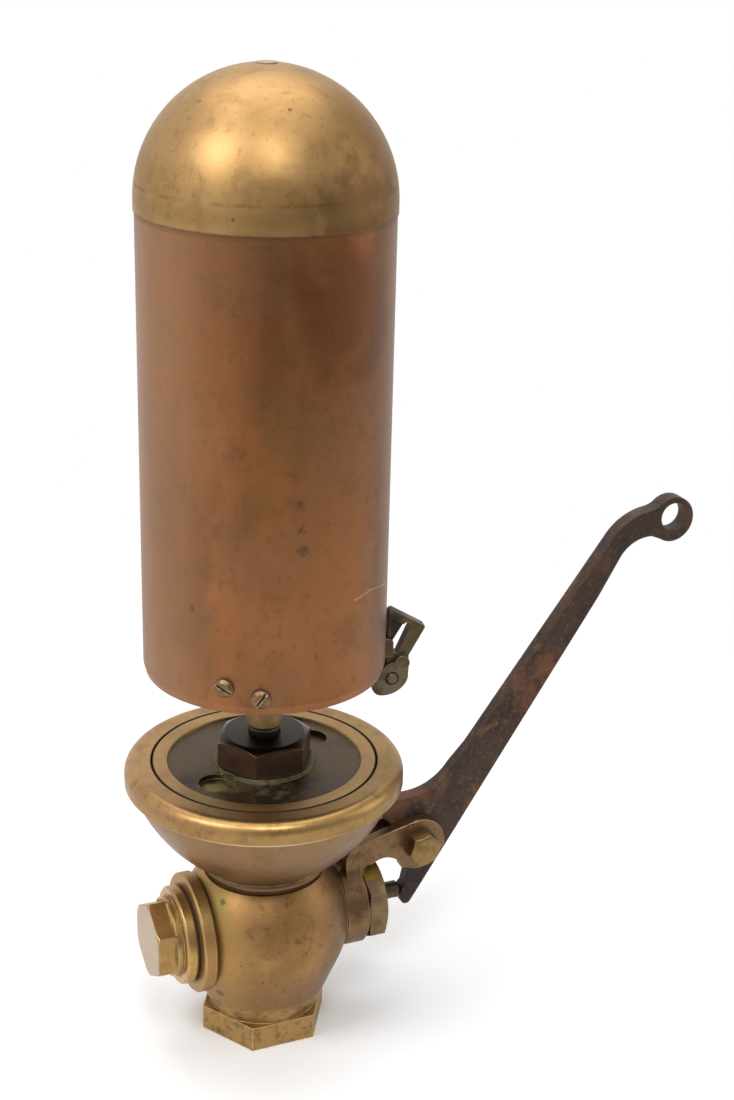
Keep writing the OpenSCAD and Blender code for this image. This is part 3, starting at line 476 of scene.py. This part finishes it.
    def done(self, round_edge=0.4 * MM):
        """Links the layers to the surface and returns the material."""
        for socket, value in (("Base Color", self.colour), ("Roughness", self.rough),
                              ("Metallic", self.metal)):
            if isinstance(value, bpy.types.NodeSocket):
                self.tree.links.new(value, self.shader.inputs[socket])
            else:
                self.shader.inputs[socket].default_value = value
        normal = put(self.tree, "ShaderNodeBevel", {"Radius": round_edge}, samples=6).outputs[0]
        if self.heights:
            total = self.heights[0]
            for more in self.heights[1:]:
                total = maths(self.tree, "ADD", total, more)
            normal = put(self.tree, "ShaderNodeBump", {
                "Strength": 1.0, "Distance": 1.0, "Height": total, "Normal": normal}).outputs[0]
        self.tree.links.new(normal, self.shader.inputs["Normal"])
        return self.material


# Marks on the tube, the dome and the lever: centre and radius, or two ends, in millimetres
TUBE_SPOTS = [((-4.2, -44.2, 231.1), 2.4), ((-3.5, -44.3, 222.1), 2.2),
              ((-3.0, -44.3, 214.8), 2.6), ((-36.3, -25.6, 191.0), 1.4)]
TUBE_SCRATCHES = [((18.1, -40.6, 191.9), (25.7, -36.3, 193.0)),
                  ((25.7, -36.3, 193.0), (36.0, -26.0, 190.2))]
DOME_SPOTS = [((-26.6, -10.2, 359.8), 0.8), ((-3.2, -29.4, 358.9), 0.9),
              ((-25.1, -37.1, 326.7), 0.8), ((-24.5, -37.6, 319), 1)]
RUST_PATCHES = [((117, -3, 135), 8), ((110, -3, 122), 8), ((64, -3, 88), 6),
                ((52, -3, 84), 8)]
# Scale of the tube's streaks along its height, which draws them out
STREAK_STRETCH = 0.28
# Distances from the axis between which the green ring lies round the plate nut
GREEN_RING = (17.8 * MM, 20.4 * MM)
# The way the loop's side faces, and the depth from its middle that lies inside its side faces
LOOP_SIDE = (-0.184, -0.983, 0.0)
LOOP_INSIDE = 2.1 * MM
# Where the loop's recess and window are painted dark with dirt and painted shade: centre and
# radius, in millimetres
LOOP_HOLLOWS = [((47.2, -11, 168), 7.2), ((50.5, -11, 160), 7.5)]


def wrap(place):
    """A place on the tube, in millimetres, unrolled to its turn round the wall and its height."""
    x, y, z = place
    return (math.atan2(y, x) * TUBE_RADIUS / MM, z, 0.0)


def tube_copper():
    """Copper of the tube: brown above, warmer below, with streaks, spots and a scratch."""
    finish = Finish("tube_copper", base="8b5b3a", rough=0.4, metallic=0.92)
    turn = maths(finish.tree, "ARCTAN2", finish.y, finish.x)
    wrapped = put(finish.tree, "ShaderNodeCombineXYZ", {
        0: times(finish.tree, turn, TUBE_RADIUS), 1: finish.z}).outputs[0]
    streaks = put(finish.tree, "ShaderNodeMapping", {
        "Vector": wrapped, "Scale": (1.0, STREAK_STRETCH, 1.0)}).outputs[0]
    finish.rings(size=1.2 * MM, depth=0.01 * MM, tone="9a6b48", share=0.3)
    finish.fade(finish.z, 310 * MM, 170 * MM, "a9714a", share=0.75)
    finish.stain(size=30 * MM, seed=4.0, low=0.42, high=0.66, tone="6e442b", share=0.5,
                 place=streaks)
    finish.stain(size=12 * MM, seed=17.0, low=0.5, high=0.7, tone="a46d42", share=0.4,
                 place=streaks)
    finish.stain(size=50 * MM, seed=7.0, low=0.46, high=0.68, tone="a4693c", rough=0.44, share=0.5)
    finish.stain(size=16 * MM, seed=9.0, low=0.5, high=0.7, tone="6f4a33", share=0.4)
    finish.stain(size=40 * MM, seed=63.0, low=0.44, high=0.64, tone="80602f", share=0.3)
    finish.stain(size=26 * MM, seed=39.0, low=0.46, high=0.66, tone="7c6046", rough=0.44, share=0.3)
    finish.stain(size=4 * MM, seed=12.0, low=0.54, high=0.72, tone="5f4433", share=0.35)
    # Painted reflection of the dark room: a darker patch on the tube's front
    finish.patch((14, -42, 296), 32, "673c25", share=0.6, ragged=0.5, rough=0.42, metal=0.92)
    # Painted reflection: greyer towards the tube's right edge
    finish.fade(finish.x, 12 * MM, 40 * MM, "8c7563", share=0.5, rough=0.46)
    # Painted light: lighter towards the tube's left side
    finish.fade(finish.x, -28 * MM, -43 * MM, "b08a6b", share=0.4)
    for place, radius in TUBE_SPOTS:
        finish.patch(place, radius, "4a3222", share=0.6, ragged=0.7, rough=0.6, metal=0.6)
    for start, end in TUBE_SCRATCHES:
        finish.scratch(wrapped, wrap(start), wrap(end), 0.4 * MM, "c3a184", share=0.9)
    finish.band(finish.z, LIP_HEIGHT, LIP_HEIGHT + 2.8 * MM, soft=2 * MM, tone="946040",
                rough=0.4, share=0.25)
    # Painted shade: a darker band on the tube just under the crown's edge
    finish.band(finish.z, CROWN_JOINT - 1.6 * MM, CROWN_JOINT + 1 * MM, soft=1.6 * MM,
                tone="57402c", rough=0.55, share=0.3)
    finish.dirt_and_shade("35211a", reach=1.4 * MM, amount=0.75)
    finish.wear("c08f66", width=0.6 * MM, amount=0.6)
    return finish.done()


def crown_brass():
    """Brass of the dome: painted shade on its right, with small dark marks and a faint seam."""
    finish = Finish("crown_brass", base="a88556", rough=0.44, metallic=0.95)
    finish.rings(size=0.6 * MM, depth=0.012 * MM, tone="c09d66", share=0.2)
    finish.stain(size=30 * MM, seed=1.0, low=0.42, high=0.66, tone="93703f", rough=0.48, share=0.55)
    # Painted shade: darker towards the dome's right and its lower front
    finish.fade(finish.x, 5 * MM, 42 * MM, "7a5631", share=0.75)
    finish.patch((14, -42, 329), 20, "62422a", share=0.7, ragged=0.6, rough=0.48, metal=0.95)
    finish.stain(size=9 * MM, seed=4.0, low=0.5, high=0.7, tone="80633c", share=0.45)
    finish.stain(size=2.8 * MM, seed=14.0, low=0.56, high=0.72, tone="6f5432", share=0.4)
    finish.stain(size=1.2 * MM, seed=24.0, low=0.6, high=0.74, tone="5c452b", share=0.4)
    seam = finish.between(finish.z, CROWN_JOINT + 9 * MM, CROWN_JOINT + 10 * MM, soft=1.2 * MM)
    worn = finish.clouds(size=10 * MM, seed=6.0, low=0.4, high=0.6)
    finish.lay(finish.both(seam, worn), "6d5030", rough=0.5, share=0.5)
    finish.band(finish.z, CROWN_JOINT + 2.5 * MM, CROWN_JOINT + 7.5 * MM, soft=4 * MM,
                tone="8a6c40", share=0.35)
    finish.band(finish.z, CROWN_JOINT - 1 * MM, CROWN_JOINT + 0.4 * MM, soft=0.6 * MM,
                tone="5c452a", rough=0.6, share=0.5)
    for place, radius in DOME_SPOTS:
        finish.patch(place, radius, "4a3824", share=0.8, ragged=0.4, rough=0.6, metal=0.5)
    finish.dirt_and_shade("4a3a24", reach=1.2 * MM, amount=0.6)
    finish.wear("d8b67c", width=0.4 * MM, amount=0.5)
    return finish.done()


def cup_brass():
    """Brass of the cup: bright rim, browner bowl, and the steam slot's dark edge of painted shade.
    """
    finish = Finish("cup_brass", base="b18c58", rough=0.34, metallic=0.95)
    finish.rings(size=0.7 * MM, depth=0.012 * MM, tone="b8955e", share=0.3)
    finish.fade(finish.x, -10 * MM, 50 * MM, "8c7244", share=0.5)
    finish.fade(finish.x, -20 * MM, -52 * MM, "b58a64", share=0.4)
    finish.band(finish.z, CUP_SEAT - 10 * MM, RIM_FOOT, soft=1.6 * MM, tone="8b6d4e", rough=0.42,
                share=0.9)
    # Painted shade: darker towards the cup's foot, under the bowl
    finish.band(finish.z, CUP_SEAT - 10 * MM, CUP_SEAT + 12 * MM, soft=12 * MM, tone="5f4730",
                rough=0.44, share=0.5)
    finish.stain(size=20 * MM, seed=2.0, low=0.42, high=0.66, tone="80623c", rough=0.4, share=0.55)
    finish.stain(size=6 * MM, seed=5.0, low=0.52, high=0.7, tone="6a5032", share=0.4)
    finish.stain(size=2 * MM, seed=15.0, low=0.56, high=0.72, tone="5d452b", share=0.35)
    finish.stain(size=9 * MM, seed=25.0, low=0.56, high=0.72, tone="9a5f3c", share=0.3)
    finish.dirt_and_shade("2e2318", reach=1.6 * MM, amount=0.4)
    # Painted highlight: a thin near-white line at the foot of the rim
    finish.band(finish.z, RIM_FOOT - 0.1 * MM, RIM_FOOT + 0.9 * MM, soft=0.6 * MM, tone="f2e2bd",
                rough=0.26, share=0.9)
    finish.wear("e0c692", width=0.7 * MM, amount=0.6, rough=0.28)
    finish.slot_edge(PLATE_RADIUS, PLATE_RADIUS + STEAM_SLOT + 0.3 * MM)
    return finish.done()


def body_brass():
    """Cast brass of the body: mottled, dull at the boss, with dark and green spots."""
    finish = Finish("body_brass", base="9f794d", rough=0.46, metallic=0.92)
    finish.grain(size=3 * MM, depth=0.08 * MM)
    finish.grain(size=0.9 * MM, depth=0.02 * MM)
    finish.stain(size=25 * MM, seed=6.0, low=0.42, high=0.66, tone="84603c", rough=0.44, share=0.6)
    finish.stain(size=10 * MM, seed=8.0, low=0.5, high=0.7, tone="ab8651", rough=0.4, share=0.4)
    finish.stain(size=6 * MM, seed=28.0, low=0.54, high=0.72, tone="86533a", share=0.35)
    finish.stain(size=3.5 * MM, seed=11.0, low=0.54, high=0.72, tone="5d442a", rough=0.5,
                 share=0.45)
    finish.stain(size=1.5 * MM, seed=31.0, low=0.58, high=0.74, tone="4d3823", rough=0.5, share=0.4)
    # Painted light and shade: darker towards the bottom and the right, lighter towards the left
    finish.fade(finish.z, 45 * MM, 18 * MM, "806440", share=0.5)
    finish.fade(finish.x, 8 * MM, 26 * MM, "614c38", share=0.6)
    finish.fade(finish.x, -12 * MM, -22 * MM, "b58f52", share=0.45)
    finish.patch((-24, -13, 63), 12, "8f8247", share=0.5, ragged=0.8, rough=0.46, metal=0.8)
    finish.patch((22, -31, 38), 11, "6b5a38", share=0.4, ragged=0.8, rough=0.5, metal=0.8)
    finish.patch((-22, -14.6, 64.5), 1.6, "4c6b50", share=0.75, ragged=0.6)
    finish.patch((-23.1, -14.3, 24.3), 2.4, "46533c", share=0.75, ragged=0.5)
    finish.patch((-2, -28, 24), 1.3, "4a4a34", share=0.6, ragged=0.6)
    finish.pits("45311f", size=1.6 * MM, share=0.03, seed=3.0, depth=0.06 * MM)
    finish.dirt_and_shade("2a2116", reach=2 * MM, amount=0.45)
    foot = remap(finish.tree, finish.z, FOOT_TOP, FOOT_FULL)
    finish.lay(foot, "b8945e", share=0.7)
    for size, seed, share in ((6 * MM, 51.0, 0.5), (2.2 * MM, 54.0, 0.6)):
        grime = finish.clouds(size, seed, low=0.5, high=0.68)
        finish.lay(finish.both(grime, foot), "66532f", rough=0.5, share=share)
    rubbed = remap(finish.tree, finish.x, BOSS_NEAR, BOSS_FAR, 1.0, 0.1)
    finish.wear("e0c492", width=0.9 * MM, amount=0.9, rough=0.3, where=rubbed)
    return finish.done()


def turned_brass(name, base, shade, bright, rough, seed, wear=0.8):
    """Finish of the smaller turned and filed brass fittings."""
    finish = Finish(name, base, rough, 0.95)
    finish.grain(size=2 * MM, depth=0.03 * MM)
    finish.stain(size=12 * MM, seed=seed, low=0.42, high=0.66, tone=shade, rough=rough + 0.06,
                 share=0.65)
    finish.stain(size=3 * MM, seed=seed + 2.0, low=0.52, high=0.7, tone=shade, share=0.55)
    finish.stain(size=1.2 * MM, seed=seed + 5.0, low=0.58, high=0.74, tone=shade, share=0.5)
    finish.dirt_and_shade("2a2116", reach=1.8 * MM, amount=0.75)
    finish.wear(bright, width=0.5 * MM, amount=wear, rough=max(0.24, rough - 0.08))
    return finish


def cap_brass():
    """Brass of the valve cap, with a greyer end face."""
    finish = turned_brass("cap_brass", base="bb955b", shade="8f7044", bright="ead6a8", rough=0.34,
                          seed=1.0)
    finish.band(finish.x, CAP_END - 1 * MM, CAP_END + 0.3 * MM, soft=0.3 * MM, tone="ac9a82",
                rough=0.36, share=0.85)
    return finish.done(round_edge=0.6 * MM)


def bonnet_brass():
    """Dull brass of the bonnet, with one yellow patch."""
    finish = turned_brass("bonnet_brass", base="806b4f", shade="5c4a37", bright="b89a68",
                          rough=0.42, seed=3.0)
    finish.patch((41.3, -6.8, 59.6), 5.4, "8a6f1e", share=0.9, ragged=0.7, rough=0.5, metal=0.6)
    return finish.done()


def bracket_bronze():
    """Brown bronze of the bracket, pitted, with bright edges."""
    finish = turned_brass("bracket_bronze", base="83664a", shade="5e4634", bright="d8bc90",
                          rough=0.42, seed=5.0, wear=1.2)
    finish.stain(size=6 * MM, seed=35.0, low=0.52, high=0.68, tone="4d3a2a", rough=0.5, share=0.5)
    finish.pits("3b2b1d", size=2.2 * MM, share=0.08, seed=6.0, depth=0.05 * MM)
    return finish.done(round_edge=0.7 * MM)


def stem_brass():
    """Brass of the bell stem, with a dark thread above the nut."""
    finish = turned_brass("stem_brass", base="b39c72", shade="8f7850", bright="e0cf9f",
                          rough=0.34, seed=11.0)
    # The dark thread, with painted shade laid over it under the bell
    finish.band(finish.z, 0.0, NUT_TOP + DARK_THREAD, soft=0.3 * MM, tone="221c16", rough=0.6,
                metal=0.5)
    return finish.done()


# Stains of the plate's recess: size, seed, low, high, tone and share
RECESS_STAINS = [(20 * MM, 8.0, 0.42, 0.7, "62543a", 0.6),
                 (24 * MM, 18.0, 0.46, 0.7, "342c25", 0.7),
                 (6 * MM, 28.0, 0.5, 0.72, "6b5a3c", 0.4)]


def plate_dark():
    """Languid plate: brass edge round a dark stained recess, with green at the nut."""
    finish = Finish("plate_dark", base="ab8654", rough=0.36, metallic=0.95)
    finish.rings(size=0.8 * MM, depth=0.01 * MM)
    finish.fade(finish.x, -10 * MM, 50 * MM, "937648", share=0.5)
    finish.stain(size=14 * MM, seed=3.0, low=0.42, high=0.66, tone="8c6c43", rough=0.42, share=0.5)
    # Painted highlight: lighter towards the plate's front edge
    finish.fade(finish.y, -26 * MM, -42 * MM, "d0a870", share=0.7)
    recess = finish.between(finish.radius, 0.0, RECESS_RADIUS, soft=0.5 * MM)
    finish.lay(recess, "5a4937", rough=0.4)
    for size, seed, low, high, tone, share in RECESS_STAINS:
        cloud = finish.clouds(size, seed, low, high, detail=6.0)
        finish.lay(finish.both(cloud, recess), tone, rough=0.46, share=share)
    ring = finish.between(finish.radius, *GREEN_RING, soft=2.4 * MM)
    ragged = finish.clouds(size=5 * MM, seed=2.0, low=0.4, high=0.6, detail=6.0)
    finish.lay(finish.both(ring, ragged), "747853", rough=0.8, metal=0.2, share=0.6)
    smear = finish.spot((-5, -22, 113.2), 16, ragged=0.25)
    wisps = finish.clouds(size=3.5 * MM, seed=44.0, low=0.4, high=0.7, detail=6.0)
    finish.lay(finish.both(smear, wisps), "7f8062", rough=0.6, metal=0.45, share=0.55)
    finish.patch((-20, -14, 113), 9, "6a613a", share=0.6, ragged=0.9, rough=0.6, metal=0.6)
    finish.patch((-24, -11, 110.5), 6.5, "94834a", share=0.85, ragged=0.5, rough=0.5, metal=0.7)
    finish.dirt_and_shade("17130e", reach=2.2 * MM, amount=0.8)
    finish.wear("b3935f", width=0.6 * MM, amount=0.7)
    finish.slot_edge(PLATE_RADIUS - 0.3 * MM, PLATE_RADIUS + 1 * MM)
    return finish.done()


def nut_bronze():
    """Brown bronze of the plate nut, with painted shade on its top."""
    finish = turned_brass("nut_bronze", base="77604f", shade="57443a", bright="a8845f",
                          rough=0.36, seed=9.0)
    # Painted shade: the nut's top darkened under the bell
    finish.band(finish.z, NUT_TOP - 1.2 * MM, NUT_TOP + 1 * MM, soft=1 * MM, tone="2c231d",
                rough=0.34, share=0.8)
    return finish.done()


def rusty_iron():
    """Rusty iron of the lever: nearly black, with brown and orange patches."""
    finish = Finish("rusty_iron", base="443127", rough=0.5, metallic=0.5)
    finish.grain(size=2.2 * MM, depth=0.28 * MM, detail=6.0)
    finish.grain(size=0.6 * MM, depth=0.08 * MM, detail=3.0)
    finish.stain(size=14 * MM, seed=2.0, low=0.44, high=0.64, tone="2f2523", rough=0.56,
                 metal=0.5, share=0.75)
    finish.stain(size=20 * MM, seed=5.0, low=0.5, high=0.7, tone="7a4c33", rough=0.7, metal=0.3,
                 share=0.6)
    finish.stain(size=10 * MM, seed=15.0, low=0.56, high=0.7, tone="7d5c33", rough=0.66,
                 metal=0.35, share=0.5)
    finish.stain(size=5 * MM, seed=9.0, low=0.54, high=0.7, tone="4d3a30", rough=0.7, metal=0.3,
                 share=0.6)
    finish.stain(size=1.8 * MM, seed=21.0, low=0.52, high=0.7, tone="7d5c46", rough=0.7,
                 metal=0.3, share=0.45)
    for place, radius in RUST_PATCHES:
        finish.patch(place, radius, "7c4826", share=0.42, ragged=1.0, rough=0.8, metal=0.15)
    finish.fade(finish.z, 140 * MM, 175 * MM, "382b23", rough=0.46, share=0.45)
    # Painted shade: the toe darkened where the bracket shades it
    finish.patch((60, 0, 47), 14, "2a2223", share=0.85, ragged=0.5, rough=0.46, metal=0.6)
    finish.wear("866247", width=1.1 * MM, amount=0.4)
    return finish.done(round_edge=1.5 * MM)


def screw_brass():
    """Brass of the tube's screws, with dirt and painted shade in their slots."""
    finish = turned_brass("screw_brass", base="866a49", shade="553f2b", bright="dcc59c",
                          rough=0.36, seed=17.0, wear=1.1)
    # Dirt and painted shade in the slots
    finish.dirt_and_shade("2a2015", reach=1.2 * MM, amount=0.9)
    return finish.done()


def loop_bronze():
    """Dark bronze of the lug, loop and pin, nearly black with dirt and painted shade in the recess
    and window.
    """
    finish = turned_brass("loop_bronze", base="665641", shade="4a3d2c", bright="b39a70",
                          rough=0.46, seed=19.0, wear=0.9)
    depth = put(finish.tree, "ShaderNodeVectorMath", {0: finish.place, 1: LOOP_SIDE},
                operation="DOT_PRODUCT").outputs["Value"]
    inside = finish.between(depth, -LOOP_INSIDE, LOOP_INSIDE, soft=0.2 * MM)
    # Dirt and painted shade in the recess and window
    for centre, radius in LOOP_HOLLOWS:
        near = finish.spot(centre, radius, ragged=0.1)
        finish.lay(finish.both(inside, near), "241d18", rough=0.6, metal=0.5, share=0.9)
    # Dirt and painted shade at the top corner of the recess
    finish.patch((46.4, -11, 167.5), 5, "2b241e", share=0.85, ragged=0.3, rough=0.6, metal=0.5)
    finish.patch((49.5, -12.7, 142.5), 11, "867660", share=0.6, ragged=0.6, rough=0.46, metal=0.9)
    finish.dirt_and_shade("1a1612", reach=2.2 * MM, amount=0.8)
    return finish.done(round_edge=0.6 * MM)


def bolt_brass():
    """Brass of the pivot bolt, its washer and its nut."""
    finish = turned_brass("bolt_brass", base="95794c", shade="6a5335", bright="c4a872", rough=0.4,
                          seed=7.0)
    return finish.done()


def rod_brass():
    """Dark brass of the valve stem and the nut of its disc."""
    finish = turned_brass("rod_brass", base="564b39", shade="3b3428", bright="a39061", rough=0.42,
                          seed=13.0)
    return finish.done()


def seat_bronze():
    """Bright bronze of the seat ring and the valve disc."""
    finish = turned_brass("seat_bronze", base="b08d52", shade="8a6c3e", bright="dfc083",
                          rough=0.34, seed=15.0)
    return finish.done()


def spring_wire():
    """Grey wire of the valve spring."""
    finish = Finish("spring_wire", base="8c8a82", rough=0.35)
    finish.stain(size=4 * MM, seed=1.0, low=0.45, high=0.65, tone="6d675a", rough=0.5)
    return finish.done()


def gasket():
    """Dark fibre of the cap's gasket."""
    finish = Finish("gasket", base="2a2520", rough=0.85, metallic=0.0)
    finish.grain(size=1 * MM, depth=0.05 * MM)
    finish.stain(size=3 * MM, seed=1.0, low=0.45, high=0.65, tone="3a342b")
    return finish.done()


FINISHES = {
    "tube_copper": tube_copper(),
    "crown_brass": crown_brass(),
    "cup_brass": cup_brass(),
    "body_brass": body_brass(),
    "plate_dark": plate_dark(),
    "rusty_iron": rusty_iron(),
    "spring_wire": spring_wire(),
    "gasket": gasket(),
    "cap_brass": cap_brass(),
    "bonnet_brass": bonnet_brass(),
    "bracket_bronze": bracket_bronze(),
    "stem_brass": stem_brass(),
    "nut_bronze": nut_bronze(),
    "screw_brass": screw_brass(),
    "loop_bronze": loop_bronze(),
    "bolt_brass": bolt_brass(),
    "rod_brass": rod_brass(),
    "seat_bronze": seat_bronze(),
}


def dress(record):
    """Gives every carried-over piece the finish of its slot in the record."""
    slots = {part["node"]: part["material_slot"] for part in record["subparts"]}
    for name, piece in frame["nodes"].items():
        finish = FINISHES[slots[name]]
        piece.data.materials.clear()
        piece.data.materials.append(finish)
        for face in piece.data.polygons:
            face.material_index = 0


def make_spring_coil():
    """Stands for the valve spring as a copy of its solid, which rides with the valve."""
    solid = frame["nodes"]["valve_spring"]
    coil = bpy.data.objects.new("valve_spring_coil", solid.data.copy())
    bpy.context.scene.collection.objects.link(coil)
    coil.matrix_world = solid.matrix_world.copy()
    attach(coil, "valve")
    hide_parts("valve_spring")
    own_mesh(coil)


dress(frame["record"])
make_spring_coil()


# Size and height of the floor, in metres
FLOOR_SIZE = 12.0
FLOOR_HEIGHT = -0.2 * MM
# Distances over which the floor goes to white for the camera, and in mirrored rays
NEAR_FLOOR, FAR_FLOOR = 0.16, 0.5
NEAR_GLOW, FAR_GLOW = 0.06, 0.3
# Distances over which the mirrored floor takes the room's brightness, and its level before
NEAR_MIRROR, FAR_MIRROR = 0.3, 1.2
NEAR_LEVEL = 0.85
PAPER_WHITE = (0.95, 0.95, 0.95, 1.0)


def make_floor():
    """Pale floor that keeps the shadow near the whistle and goes to white further off."""
    mesh = bpy.data.meshes.new("floor")
    half = FLOOR_SIZE / 2
    corners = [(x * half, y * half, FLOOR_HEIGHT) for x, y in ((-1, -1), (1, -1), (1, 1), (-1, 1))]
    mesh.from_pydata(corners, [], [(0, 1, 2, 3)])
    floor = bpy.data.objects.new("floor", mesh)
    bpy.context.scene.collection.objects.link(floor)
    material = bpy.data.materials.new("pale_floor")
    material.use_nodes = True
    tree = material.node_tree
    tree.nodes.clear()
    out = tree.nodes.new("ShaderNodeOutputMaterial")
    paper = put(tree, "ShaderNodeBsdfDiffuse", {"Color": PAPER_WHITE})
    place = put(tree, "ShaderNodeTexCoord").outputs["Object"]
    away = put(tree, "ShaderNodeVectorMath", {0: place}, operation="LENGTH").outputs["Value"]
    rays = tree.nodes.new("ShaderNodeLightPath").outputs
    mirrored = rays["Is Glossy Ray"]
    seen = maths(tree, "MAXIMUM", rays["Is Camera Ray"], rays["Is Transmission Ray"])
    room = use_effect(tree, ROOM, direction=place)["Brightness"]
    room = blend_value(tree, remap(tree, away, NEAR_MIRROR, FAR_MIRROR), NEAR_LEVEL, room)
    glow = put(tree, "ShaderNodeEmission", {
        "Color": (1.0, 1.0, 1.0, 1.0), "Strength": blend_value(tree, mirrored, 1.0, room)})
    shown = times(tree, seen, remap(tree, away, NEAR_FLOOR, FAR_FLOOR))
    glowing = times(tree, mirrored, remap(tree, away, NEAR_GLOW, FAR_GLOW))
    share = maths(tree, "ADD", shown, glowing, clamp=True)
    mix = put(tree, "ShaderNodeMixShader", {0: share, 1: paper.outputs[0], 2: glow.outputs[0]})
    tree.links.new(mix.outputs[0], out.inputs[0])
    mesh.materials.append(material)


# Level of the room's soft light, where it is neither seen nor mirrored
ROOM_LIGHT = 0.5


def make_world():
    """Even soft room light, white to the camera, with the room's brightness in mirrored rays."""
    world = bpy.data.worlds.new("studio")
    bpy.context.scene.world = world
    world.use_nodes = True
    tree = world.node_tree
    tree.nodes.clear()
    out = tree.nodes.new("ShaderNodeOutputWorld")
    rays = tree.nodes.new("ShaderNodeLightPath").outputs
    direction = tree.nodes.new("ShaderNodeTexCoord").outputs["Generated"]
    mirrored = use_effect(tree, ROOM, direction=direction)["Brightness"]
    seen = maths(tree, "MAXIMUM", rays["Is Camera Ray"], rays["Is Transmission Ray"])
    lit = blend_value(tree, rays["Is Glossy Ray"], ROOM_LIGHT, mirrored)
    strength = blend_value(tree, seen, lit, 1.0)
    light = put(tree, "ShaderNodeBackground", {"Color": (1.0, 1.0, 1.0, 1.0),
                                               "Strength": strength})
    tree.links.new(light.outputs[0], out.inputs[0])


WHISTLE_MIDDLE = (0.0, 0.0, 0.18)


def add_lamp(name, place, width, height, watts):
    """A soft rectangular lamp that points at the middle of the whistle."""
    data = bpy.data.lights.new(name, "AREA")
    data.shape = "RECTANGLE"
    data.size, data.size_y = width, height
    data.energy = watts
    lamp = bpy.data.objects.new(name, data)
    bpy.context.scene.collection.objects.link(lamp)
    lamp.location = place
    lamp.rotation_mode = "QUATERNION"
    lamp.rotation_quaternion = (Vector(WHISTLE_MIDDLE) - Vector(place)).to_track_quat("-Z", "Y")


# The camera's place in metres, its turn, drop and roll, and its lens in millimetres
CAMERA_PLACE = (-0.2262, -0.6018, 0.4505)
CAMERA_TURN = math.radians(23.877)
CAMERA_DROP = math.radians(21.391)
CAMERA_ROLL = math.radians(1.404)
CAMERA_LENS = 62.586
SENSOR_WIDTH = 36.0
NEAREST, FARTHEST = 0.02, 50.0


def make_camera():
    """The camera at the photograph's viewing angle."""
    data = bpy.data.cameras.new("camera")
    data.lens = CAMERA_LENS
    data.sensor_width = SENSOR_WIDTH
    data.clip_start, data.clip_end = NEAREST, FARTHEST
    camera = bpy.data.objects.new("camera", data)
    bpy.context.scene.collection.objects.link(camera)
    turn = (Matrix.Rotation(-CAMERA_TURN, 4, "Z")
            @ Matrix.Rotation(math.pi / 2 - CAMERA_DROP, 4, "X")
            @ Matrix.Rotation(CAMERA_ROLL, 4, "Z"))
    camera.matrix_world = Matrix.Translation(CAMERA_PLACE) @ turn
    bpy.context.scene.camera = camera


make_floor()
make_world()
add_lamp("key", (-0.857, -0.23, 1.13), width=0.5, height=0.5, watts=7.0)
add_lamp("second", (-0.163, -0.765, 1.218), width=0.4, height=0.4, watts=5.0)
add_lamp("ceiling", (0.1, 0.3, 1.4), width=1.2, height=1.0, watts=10.0)
add_lamp("right", (1.1, -0.35, 0.5), width=0.6, height=0.8, watts=2.0)
make_camera()

bpy.context.scene.view_settings.view_transform = "Standard"
